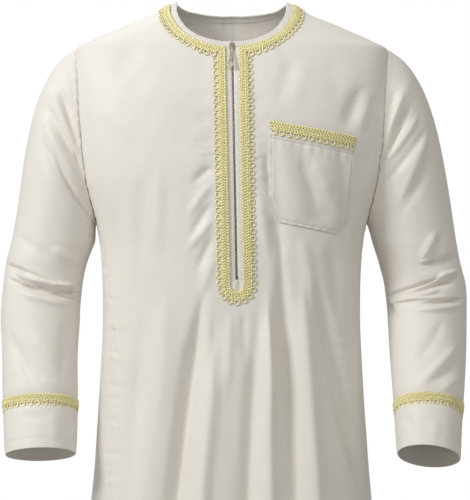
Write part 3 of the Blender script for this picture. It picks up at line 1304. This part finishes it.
PULL = columns("down half_width", [
    (-0.0005, 0.0020), (0.0002, 0.0023), (0.0010, 0.0024), (0.0046, 0.0022), (0.0068, 0.0017),
    (0.0110, 0.0020), (0.0270, 0.0026), (0.0310, 0.0029), (0.0342, 0.0042), (0.0372, 0.0046),
    (0.0388, 0.0042), (0.0395, 0.0034)])
PULL_TOP, PULL_FOOT = PULL["down"][[0, -1]]


def slider_frame():
    """Axes of the slider: to the side, down the zip and out of the cloth, and its place."""
    heights = SLIDER_HEIGHT + np.array([0.006, 0, -0.006])
    points = body_base(turn_at(zip_side(heights), heights), heights)[0]
    down = unit(points[2] - points[0])
    out = unit(np.cross(np.array([-1.0, 0, 0]), down))
    aside = np.cross(down, out)
    origin = np.array([float(zip_side(SLIDER_HEIGHT)), points[1][1], points[1][2]])
    return origin, np.stack([aside, down, out])


def make_pull(look):
    """Zip pull: a plate whose width follows a curve, pillowed to its edges, with an eye at the
    top, a long sunk panel and a wide rounded foot."""
    downs = np.concatenate([[-0.0005, -0.0002, 0.0001, 0.0005], np.linspace(0.0011, 0.0043, 8),
                            np.linspace(0.0049, 0.0310, 40), np.linspace(0.0316, 0.0388, 16),
                            [0.0391, 0.0393, 0.0395]])[:, None]
    hole = PULL_HOLE_HALF / 0.0024
    across = np.concatenate([[-1, -0.97, -0.90, -0.78, -0.66, -hole], np.linspace(-0.4, 0.4, 7),
                             [hole, 0.66, 0.78, 0.90, 0.97, 1]])
    width = at(PULL, "half_width", downs)
    x = width * across
    y = np.broadcast_to(downs, x.shape)
    edge = np.minimum(width - abs(x), np.minimum(y - PULL_TOP, PULL_FOOT - y))
    thick = 0.00055 * (1 - 0.55 * np.exp(-edge / 0.00022))
    panel = (ease((edge - 0.0007) / 0.0003) * ease((y - 0.0085) / 0.0008)
             * ease((0.0300 - y) / 0.0008))
    foot = ease((y - 0.0335) / 0.0015)
    thick = thick - 0.00018 * panel - 0.00012 * foot * np.sin(y * 4200)**2 * ease(edge / 0.0012)
    origin, axes = slider_frame()

    def put(z):
        """The plate leaned in its own plane, lifted about its axis and set on the slider."""
        lean_x = x * math.cos(PULL_LEAN) - y * math.sin(PULL_LEAN)
        lean_y = x * math.sin(PULL_LEAN) + y * math.cos(PULL_LEAN)
        down = lean_y * math.cos(PULL_REST_LIFT) - z * math.sin(PULL_REST_LIFT)
        out = lean_y * math.sin(PULL_REST_LIFT) + z * math.cos(PULL_REST_LIFT)
        out = out + SLIDER_FACE + PULL_AXIS_RISE
        return origin + np.stack([lean_x, down, out], axis=-1) @ axes

    missing = np.zeros((len(downs) - 1, len(across) - 1), bool)
    inside = (downs[:-1, 0] > 0.0004) & (downs[1:, 0] < 0.0044)
    missing[np.ix_(inside, (across[:-1] > -0.6) & (across[1:] < 0.6))] = True
    mesh = wall("zip_handle", put(thick), put(-thick), missing=missing, sharp=70)
    show("zip_handle", mesh, look, ["zip_pull"], "pull_tab")


STITCH_INSET = 0.0034
ZIP_STITCH_SIDE = 0.0068


def make_stitches(look, pitch):
    """Rows of stitches: beside the zip, under the binding, round the pocket, cuffs and hem.
    Returns the pieces by the cloth that they are sewn into."""
    made = {}

    def add(owner, part, line, out):
        """One row along a line, with the directions out of the cloth."""
        label = "stitches_" + part
        made.setdefault(owner, []).append(
            show(label, stitches(label, line, out, pitch), look))

    def on_body(owner, part, turns, heights, lift):
        """One row over the front or back."""
        add(owner, part, laid(turns, heights, lift), body_normals(turns, heights))

    heights = np.linspace(-0.100, SLIT_END - 0.004, 200)
    for side, name in SIDES:
        turns = turn_at(zip_side(heights) + side * ZIP_STITCH_SIDE, heights)
        on_body("front", "zip_" + name, turns, heights, 0.0001)
    turns = np.linspace(0.03, 2 * math.pi - 0.03, 300)
    on_body("neck", "neck", turns, below_neck(turns, BINDING_WIDTH - 0.0016), 0.00072)

    share = np.linspace(0, 1, 120)
    inset = STITCH_INSET / POCKET_TOP_LENGTH
    drop = STITCH_INSET / POCKET_HEIGHT
    sides = drop + (0.975 - drop) * share
    for part, inwards, low in (("hem", 0.02 + 0.96 * share, POCKET_HEM / POCKET_HEIGHT),
                               ("inner", inset, sides), ("outer", 1 - inset, sides),
                               ("bottom", inset + (1 - 2 * inset) * share, 1 - drop)):
        inwards, low = np.broadcast_arrays(inwards, low)
        side, height = pocket_spot(inwards, low)
        on_body("pocket", "pocket_" + part, turn_at(side, height), height,
                pocket_lift(inwards, low) + 0.00022)

    turns = np.linspace(-math.pi, math.pi, 700)
    on_body("front", "hem", turns, np.full(700, HEM_HEIGHT + HEM_FOLD), -0.0005)
    for side, name in SIDES:
        surface = sleeve(side)
        angles, down = np.linspace(0, 2 * math.pi, 240), np.full(240, 1.952)
        out = sleeve_normals(surface, side, angles, down)
        add("sleeve_" + name, "cuff_" + name, surface(angles, down) + out * 0.0001, out)
    return made


# ---------------------------------------------------------------- finishes
def link(tree, kind, inputs=None, **settings):
    """Adds a node in the next place of a grid. Each input takes a node's output or a value."""
    made = tree.nodes.new(kind)
    column, row = divmod(len(tree.nodes), 4)
    made.location = (240 * column, -260 * row)
    for key, value in settings.items():
        setattr(made, key, value)
    for key, value in (inputs or {}).items():
        if isinstance(value, bpy.types.NodeSocket):
            tree.links.new(value, made.inputs[key])
        else:
            made.inputs[key].default_value = value
    return made


def maths(tree, operation, *values):
    """One sum of numbers, as a value."""
    return link(tree, "ShaderNodeMath", dict(enumerate(values)), operation=operation).outputs[0]


def noise(tree, vector, scale, detail=2.0, roughness=0.5, distortion=0.0):
    """Soft random clouds. Returns the node's outputs."""
    return link(tree, "ShaderNodeTexNoise", {
        "Vector": vector, "Scale": scale, "Detail": detail, "Roughness": roughness,
        "Distortion": distortion}).outputs


def streaks(tree, vector, scale, detail, roughness=0.5):
    """Noise drawn out by another scale along each axis, as a value."""
    drawn = link(tree, "ShaderNodeMapping", {"Vector": vector, "Scale": scale}).outputs["Vector"]
    return noise(tree, drawn, 1.0, detail, roughness)["Fac"]


def scaled(colour, share):
    """A colour times a share, or times a share for each part, up to white."""
    return tuple(np.minimum(np.multiply(colour, share), 1.0))


def node_group(name, numbers, outputs):
    """Node group that takes a place and these numbers. Returns its tree and what it is given."""
    tree = bpy.data.node_groups.new(name, "ShaderNodeTree")
    tree.interface.new_socket(name="Vector", in_out="INPUT", socket_type="NodeSocketVector")
    for label, value in numbers.items():
        socket = tree.interface.new_socket(name=label, in_out="INPUT",
                                           socket_type="NodeSocketFloat")
        socket.default_value = value
    for label in outputs:
        tree.interface.new_socket(name=label, in_out="OUTPUT", socket_type="NodeSocketFloat")
    return tree, link(tree, "NodeGroupInput").outputs


def fine_weave(name):
    """Crossing threads: the product of two sines of the place, bent a little by noise."""
    tree, given = node_group(name, {"Pitch": 0.0004}, ("Height", "Slub"))
    bend = noise(tree, given["Vector"], 260.0)
    moved = link(tree, "ShaderNodeMix", {
        "Factor": 0.0006, "A": given["Vector"], "B": bend["Color"]}, data_type="VECTOR")
    parts = link(tree, "ShaderNodeSeparateXYZ", {"Vector": moved.outputs["Result"]}).outputs
    scale = maths(tree, "DIVIDE", math.pi, given["Pitch"])
    warp = maths(tree, "SINE", maths(tree, "MULTIPLY", parts["X"], scale))
    weft = maths(tree, "SINE", maths(tree, "MULTIPLY", parts["Y"],
                                     maths(tree, "MULTIPLY", scale, 0.38)))
    both = maths(tree, "MULTIPLY", warp, weft)
    link(tree, "NodeGroupOutput", {
        "Height": maths(tree, "MULTIPLY_ADD", both, 0.5, 0.5),
        "Slub": streaks(tree, given["Vector"], (40.0, 900.0, 1.0), 3.0, 0.6)})
    return tree


def soft_mottle(name):
    """Cloudy unevenness at two sizes, as a value about a half."""
    tree, given = node_group(name, {"Size": 0.05}, ["Value"])
    scale = maths(tree, "DIVIDE", 1.0, given["Size"])
    broad = noise(tree, given["Vector"], scale, 3.0, 0.55)
    finer = noise(tree, given["Vector"], maths(tree, "MULTIPLY", scale, 6.3))
    link(tree, "NodeGroupOutput", {
        "Value": maths(tree, "MULTIPLY_ADD", broad["Fac"], 0.7,
                       maths(tree, "MULTIPLY", finer["Fac"], 0.3))})
    return tree


def twisted_thread(name):
    """Plies wound round a cord: the size of a sine of the way along plus the way round."""
    tree, given = node_group(name, {"Twist": 0.003, "Plies": 3.0}, ("Height", "Gap"))
    parts = link(tree, "ShaderNodeSeparateXYZ", {"Vector": given["Vector"]}).outputs
    wound = maths(tree, "ADD", maths(tree, "DIVIDE", parts["X"], given["Twist"]), parts["Y"])
    phase = maths(tree, "MULTIPLY", wound, given["Plies"])
    wave = maths(tree, "ABSOLUTE", maths(tree, "SINE", maths(tree, "MULTIPLY", phase, math.pi)))
    gap = link(tree, "ShaderNodeMapRange", {
        "Value": wave, "From Min": 0.0, "From Max": 0.45, "To Min": 1.0, "To Max": 0.0})
    link(tree, "NodeGroupOutput", {
        "Height": maths(tree, "POWER", wave, 0.6), "Gap": gap.outputs["Result"]})
    return tree


def worn_metal(name):
    """Bright worn edges from the mesh's curvature, broken up by noise, and fine scratches."""
    tree, given = node_group(name, {}, ("Wear", "Scratch"))
    shape = link(tree, "ShaderNodeNewGeometry").outputs["Pointiness"]
    edge = link(tree, "ShaderNodeMapRange", {"Value": shape, "From Min": 0.50, "From Max": 0.58})
    patch = noise(tree, given["Vector"], 700.0, 4.0)["Fac"]
    link(tree, "NodeGroupOutput", {
        "Wear": maths(tree, "MULTIPLY", edge.outputs["Result"],
                      maths(tree, "MULTIPLY_ADD", patch, 1.2, 0.1)),
        "Scratch": streaks(tree, given["Vector"], (4000.0, 300.0, 300.0), 2.0)})
    return tree


GROUPS = {"Fine Weave": fine_weave, "Soft Mottle": soft_mottle, "Twisted Thread": twisted_thread,
          "Worn Metal": worn_metal}


def use(tree, name, vector, **numbers):
    """Places a node group, which is made once, in a material. Returns its outputs."""
    group = bpy.data.node_groups.get(name) or GROUPS[name](name)
    return link(tree, "ShaderNodeGroup", {"Vector": vector, **numbers}, node_tree=group).outputs


def fresh_material(name):
    """Empty material. Returns it, its tree and its coordinates."""
    look = bpy.data.materials.new(name)
    look.use_nodes = True
    tree = look.node_tree
    tree.nodes.clear()
    return look, tree, link(tree, "ShaderNodeTexCoord").outputs


def surfaced(look, inputs):
    """Ends a material with a shader that takes these inputs."""
    shader = link(look.node_tree, "ShaderNodeBsdfPrincipled", inputs)
    link(look.node_tree, "ShaderNodeOutputMaterial", {"Surface": shader.outputs["BSDF"]})
    return look


def bent(tree, height, distance, strength, **normal):
    """Bump node's normal."""
    return link(tree, "ShaderNodeBump", {"Height": height, "Distance": distance,
                                         "Strength": strength, **normal}).outputs["Normal"]


def blended(tree, share, first, second):
    """Colour mixed from two, by a value."""
    pair = [value if isinstance(value, bpy.types.NodeSocket) else (*value, 1.0)
            for value in (first, second)]
    return link(tree, "ShaderNodeMix", {"Factor": share, 6: pair[0], 7: pair[1]},
                data_type="RGBA").outputs[2]


def cloth_look(name, settings, shade=1.0):
    """Satin-faced cloth: a fine weave with slubs, faint clouds of tone and a soft sheen."""
    look, tree, coords = fresh_material(name)
    weave = use(tree, "Fine Weave", coords["UV"], Pitch=settings.thread_pitch)
    cloud = use(tree, "Soft Mottle", coords["Object"], Size=0.09)["Value"]
    light = scaled(settings.colour, shade)
    dark = scaled(light, (0.90, 0.90, 0.89))
    tone = blended(tree, cloud, light, dark)
    tone = blended(tree, maths(tree, "MULTIPLY", weave["Slub"], 0.10), tone, dark)
    crumple = noise(tree, coords["Object"], 42.0, 2.5, 0.5, 0.6)["Fac"]
    normal = bent(tree, crumple, 0.0016, 0.30)
    normal = bent(tree, weave["Height"], 0.00006, 0.5, Normal=normal)
    normal = bent(tree, weave["Slub"], 0.00005, 0.35, Normal=normal)
    return surfaced(look, {
        "Base Color": tone, "Roughness": settings.roughness, "Specular IOR Level": 0.35,
        "Sheen Weight": settings.sheen, "Sheen Roughness": 0.45,
        "Sheen Tint": (1.0, 0.98, 0.95, 1.0), "Normal": normal})


def thread_look(name, colour, shade, twist, plies=3.0, metallic=0.22, roughness=0.36):
    """Twisted thread with darker gaps between its plies and faint changes of tone."""
    look, tree, coords = fresh_material(name)
    wound = use(tree, "Twisted Thread", coords["UV"], Twist=twist, Plies=plies)
    cloud = use(tree, "Soft Mottle", coords["Object"], Size=0.012)["Value"]
    tone = blended(tree, maths(tree, "MULTIPLY", cloud, 0.35), colour, shade)
    tone = blended(tree, maths(tree, "MULTIPLY", wound["Gap"], 0.75), tone, scaled(shade, 0.42))
    return surfaced(look, {
        "Base Color": tone, "Roughness": roughness, "Metallic": metallic, "Sheen Weight": 0.2,
        "Sheen Roughness": 0.4, "Normal": bent(tree, wound["Height"], 0.00022, 0.7)})


def metal_look(name, colour, gleam):
    """Plated metal: dull in its hollows, a gleam times brighter on its worn edges, scratched."""
    look, tree, coords = fresh_material(name)
    worn = use(tree, "Worn Metal", coords["Object"])
    cloud = use(tree, "Soft Mottle", coords["Object"], Size=0.006)["Value"]
    tone = blended(tree, cloud, colour, scaled(colour, 0.7))
    tone = blended(tree, worn["Wear"], tone, scaled(colour, gleam))
    return surfaced(look, {
        "Base Color": tone, "Roughness": maths(tree, "MULTIPLY_ADD", worn["Scratch"], 0.25, 0.22),
        "Metallic": 1.0, "Normal": bent(tree, worn["Scratch"], 0.00002, 0.4)})


def floor_look(colour):
    """Matt floor with a faint mottle."""
    look, tree, coords = fresh_material("studio_floor")
    grain = noise(tree, coords["Object"], 6.0)["Fac"]
    return surfaced(look, {"Base Color": blended(tree, grain, colour, scaled(colour, 0.96)),
                           "Roughness": 0.8})


# ---------------------------------------------------------------- stage
FLOOR_HEIGHT = -1.42
FLOOR_HALF = 3.0
FLOOR_POINTS = 13


def placed(name, data, place, turn):
    """Adds a lamp or camera. Returns its object."""
    holder = bpy.data.objects.new(name, data)
    holder.location = place
    holder.rotation_euler = turn
    bpy.context.scene.collection.objects.link(holder)
    return holder


def area_light(name, place, target, size, power, colour):
    """Square lamp turned towards a point."""
    lamp = bpy.data.lights.new(name, "AREA")
    lamp.size = size
    lamp.energy = power
    lamp.color = colour
    turn = (Vector(target) - Vector(place)).to_track_quat("-Z", "Y").to_euler()
    placed(name, lamp, place, turn).visible_camera = False


def white_surround(sky, strength):
    """World that looks white and lights dimly."""
    world = bpy.data.worlds.new("surround")
    world.use_nodes = True
    tree = world.node_tree
    tree.nodes.clear()
    path = link(tree, "ShaderNodeLightPath").outputs["Is Camera Ray"]
    seen = link(tree, "ShaderNodeBackground", {"Color": (1, 1, 1, 1), "Strength": 1.0})
    lit = link(tree, "ShaderNodeBackground", {"Color": (*sky, 1), "Strength": strength})
    both = link(tree, "ShaderNodeMixShader", {0: path, 1: lit.outputs[0], 2: seen.outputs[0]})
    link(tree, "ShaderNodeOutputWorld", {"Surface": both.outputs[0]})
    bpy.context.scene.world = world


def make_stage(settings):
    """Camera, lamps, surround and a floor under the hem, dipped here and there by sines."""
    scene = bpy.context.scene
    lens = bpy.data.cameras.new("camera")
    lens.lens = 135
    lens.sensor_width = 36
    scene.camera = placed("camera", lens, (0.0056, -3.0, -0.3968), (math.pi / 2, 0, 0))
    scene.view_settings.view_transform = "Standard"
    scene.view_settings.look = "None"
    for name, place, target, size, share, colour in (
            ("key", (-2.6, -1.9, 1.6), (0, 0, -0.35), 1.1, 1, (0.985, 0.99, 1.0)),
            ("front", (0.2, -2.7, 2.3), (0, 0, -0.25), 1.6, 0.38, (0.99, 0.99, 1.0)),
            ("fill", (2.8, -1.5, 0.3), (0, 0, -0.4), 1.8, 0.05, (1.0, 1.0, 0.98)),
            ("top", (-0.3, 1.4, 2.0), (0, 0, -0.3), 1.4, 0.25, (1.0, 1.0, 1.0)),
            ("neck", (0, -0.040, -0.170), (0, 0.055, -0.045), 0.09, 0.00075, (1.0, 0.99, 0.97))):
        area_light(name, place, target, size, settings.lamp_power * share, colour)
    white_surround(settings.sky_colour, settings.sky_strength)
    steps = np.linspace(-FLOOR_HALF, FLOOR_HALF, FLOOR_POINTS)
    x, y = np.meshgrid(steps, steps)
    dip = FLOOR_HEIGHT - 0.0005 * (np.sin(x * 2.1) + np.sin(y * 1.7))**2
    points = np.stack([x, y, dip], axis=-1).reshape(-1, 3)
    quads = cells(np.arange(len(points)).reshape(x.shape))[:, :-1].reshape(-1, 4)
    mesh = put_mesh("floor", points, quads)
    mesh.materials.append(floor_look(tuple(settings.floor_colour)))
    floor = bpy.data.objects.new("floor", mesh)
    scene.collection.objects.link(floor)


# ---------------------------------------------------------------- settings
def colour_setting(name, words, value):
    """A colour with the usual range."""
    return bpy.props.FloatVectorProperty(name=name, description=words, subtype="COLOR", size=3,
                                         min=0, max=1, default=value)


def number_setting(name, words, value, low, high, **kind):
    """A number with its range, and a unit or subtype."""
    return bpy.props.FloatProperty(name=name, description=words, default=value, min=low, max=high,
                                   precision=5, **kind)


def length_setting(name, words, value, low, high):
    """A length in metres."""
    return number_setting(name, words, value, low, high, unit="LENGTH")


def share_setting(name, words, value):
    """A share from 0 to 1."""
    return number_setting(name, words, value, 0, 1, subtype="FACTOR")


class ThobeCloth(bpy.types.PropertyGroup):
    colour: colour_setting("Colour", "Colour of the cloth where light falls on it",
                           (0.82, 0.779, 0.722))
    roughness: share_setting("Roughness", "How dull the cloth's face is", 0.52)
    sheen: share_setting("Sheen", "Strength of the soft glow at the cloth's edges", 0.22)
    thread_pitch: length_setting("Thread Pitch", "Distance between the cloth's threads", 0.00045,
                                 0.0001, 0.005)
    stitch_pitch: length_setting("Stitch Pitch", "Distance between stitches", 0.0031, 0.001, 0.02)


class ThobeBraid(bpy.types.PropertyGroup):
    colour: colour_setting("Colour", "Colour of the gold thread", (1.0, 0.94, 0.52))
    shade: colour_setting("Shade", "Colour of the thread's darker parts", (0.58, 0.45, 0.19))
    strand_radius: length_setting("Strand Radius", "Radius of the plait's strands", 0.00130,
                                  0.0003, 0.004)
    plait_pitch: length_setting("Plait Pitch", "Length of one whole sway of a strand", 0.0215,
                                0.004, 0.08)
    ring_radius: length_setting("Loop Radius", "Radius of each loop at the cord's middle", 0.0038,
                                0.001, 0.01)
    ring_cord: length_setting("Loop Cord Radius", "Radius of the looped cord", 0.00112, 0.0003,
                              0.004)


class ThobeZip(bpy.types.PropertyGroup):
    metal: colour_setting("Metal", "Colour of the teeth and slider", (0.17, 0.145, 0.11))
    pull: colour_setting("Pull", "Colour of the pull", (0.80, 0.70, 0.56))
    tape: colour_setting("Tape", "Colour of the zip's tape", (0.55, 0.52, 0.47))
    tooth_pitch: length_setting("Tooth Pitch", "Distance between teeth on one side", 0.0020,
                                0.0008, 0.01)


class ThobeStage(bpy.types.PropertyGroup):
    lamp_power: number_setting("Lamp Power", "Power of the main lamp", 84.0, 0, 5000, unit="POWER")
    sky_colour: colour_setting("Surround Colour", "Colour of the light from all round",
                               (1.0, 0.985, 0.93))
    sky_strength: number_setting("Surround Strength", "Brightness of the light from all round",
                                 0.30, 0, 10)
    floor_colour: colour_setting("Floor Colour", "Colour of the floor", (0.72, 0.72, 0.72))


class THOBE_OT_cloth(bpy.types.Operator):
    """Makes the front, the back and both sleeves"""
    bl_idname = "thobe.cloth"
    bl_label = "Front, Back and Sleeves"

    def execute(self, context):
        look = cloth_look("ivory_cloth", context.scene.thobe_cloth)
        make_panel("front", front_columns, (-1, 1), FRONT_ARMHOLE_DEGREES, FRONT_MIDDLES, 0, look)
        make_panel("back", back_columns, (1, -1), BACK_ARMHOLE_DEGREES, BACK_MIDDLES, math.pi, look)
        for side, name in SIDES:
            outer, inner = sleeve_grid(side, 184, 70, 96)
            label = f"sleeve_{name}_cloth"
            show(label, wall(label, outer, inner, around=True), look,
                 [f"sleeve_{name}"])
        return {"FINISHED"}


class THOBE_OT_neck(bpy.types.Operator):
    """Makes the binding round the neck's edge"""
    bl_idname = "thobe.neck"
    bl_label = "Neck Binding"

    def execute(self, context):
        make_binding(cloth_look("ivory_binding", context.scene.thobe_cloth, 0.93))
        return {"FINISHED"}


class THOBE_OT_pocket(bpy.types.Operator):
    """Makes the chest pocket"""
    bl_idname = "thobe.pocket"
    bl_label = "Chest Pocket"

    def execute(self, context):
        make_pocket(cloth_look("ivory_pocket", context.scene.thobe_cloth, 0.93))
        return {"FINISHED"}


class THOBE_OT_braid(bpy.types.Operator):
    """Makes the gold braid of the neck, placket, pocket and cuffs"""
    bl_idname = "thobe.braid"
    bl_label = "Gold Braid"

    def execute(self, context):
        settings = context.scene.thobe_braid
        looks = (thread_look("gold_thread", settings.colour, settings.shade, 0.0032),
                 thread_look("gold_backing", settings.shade, scaled(settings.shade, 0.6), 0.0012))
        context.scene["thobe_braid_pieces"] = make_braid(looks, settings)
        return {"FINISHED"}


class THOBE_OT_zip(bpy.types.Operator):
    """Makes the zip's teeth, stop, tapes and pull, and finishes its slider"""
    bl_idname = "thobe.zip"
    bl_label = "Zip"

    def execute(self, context):
        settings = context.scene.thobe_zip
        bronze = metal_look("zip_metal", settings.metal, 2.6)
        make_teeth(bronze, settings.tooth_pitch)
        make_stop(bronze)
        make_pull(metal_look("pull_metal", settings.pull, 1.9))
        tape = thread_look("zip_tape", settings.tape, scaled(settings.tape, 0.8), 0.001, 2.0, 0.0,
                           0.8)
        make_tape("zip_tape_on_left", (0.0120, 0.0013), "zip_tape_left", tape)
        make_tape("zip_tape_on_right", (-0.0013, -0.0120), "zip_tape_right", tape)
        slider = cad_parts["zip_slider"]
        for place in slider.material_slots:
            place.link = "OBJECT"
            place.material = bronze
        bevel = slider.modifiers.new("soft edges", "BEVEL")
        bevel.width = 0.00022
        bevel.segments = 2
        bevel.limit_method = "ANGLE"
        return {"FINISHED"}


class THOBE_OT_stitches(bpy.types.Operator):
    """Makes the rows of stitches and declares each sheet of cloth with the pieces on it"""
    bl_idname = "thobe.stitches"
    bl_label = "Stitches and Sheets"

    def execute(self, context):
        settings = context.scene.thobe_cloth
        look = thread_look("ivory_thread", settings.colour, scaled(settings.colour, 0.7), 0.0009,
                           2.0, 0.0, 0.55)
        rows = make_stitches(look, settings.stitch_pitch)

        return {"FINISHED"}


class THOBE_OT_stage(bpy.types.Operator):
    """Makes the camera, lamps, surround and floor"""
    bl_idname = "thobe.stage"
    bl_label = "Stage"

    def execute(self, context):
        make_stage(context.scene.thobe_stage)
        return {"FINISHED"}


STEPS = (THOBE_OT_cloth, THOBE_OT_neck, THOBE_OT_pocket, THOBE_OT_braid, THOBE_OT_zip,
         THOBE_OT_stitches, THOBE_OT_stage)
SETTINGS = (("thobe_cloth", "Cloth", ThobeCloth), ("thobe_braid", "Braid", ThobeBraid),
            ("thobe_zip", "Zip", ThobeZip), ("thobe_stage", "Stage", ThobeStage))


class THOBE_PT_panel(bpy.types.Panel):
    """Lists the steps in order and the settings"""
    bl_idname = "THOBE_PT_panel"
    bl_label = "Thobe"
    bl_space_type = "VIEW_3D"
    bl_region_type = "UI"
    bl_category = "Thobe"

    def draw(self, context):
        layout = self.layout
        for step in STEPS:
            layout.operator(step.bl_idname)
        for attribute, label, kind in SETTINGS:
            box = layout.box()
            box.label(text=label)
            for name in kind.__annotations__:
                box.prop(getattr(context.scene, attribute), name)


CLASSES = tuple(kind for _, _, kind in SETTINGS) + STEPS + (THOBE_PT_panel,)


def register():
    """Adds the classes and the scene's settings."""
    for kind in CLASSES:
        bpy.utils.register_class(kind)
    for attribute, _, kind in SETTINGS:
        setattr(bpy.types.Scene, attribute, bpy.props.PointerProperty(type=kind))


def unregister():
    """Removes them again."""
    for attribute, _, _ in SETTINGS:
        delattr(bpy.types.Scene, attribute)
    for kind in reversed(CLASSES):
        bpy.utils.unregister_class(kind)


def main():
    """Runs every step in order."""
    register()
    for step in STEPS:
        getattr(bpy.ops.thobe, step.bl_idname.split(".")[1])()


if __name__ == "__main__":
    main()
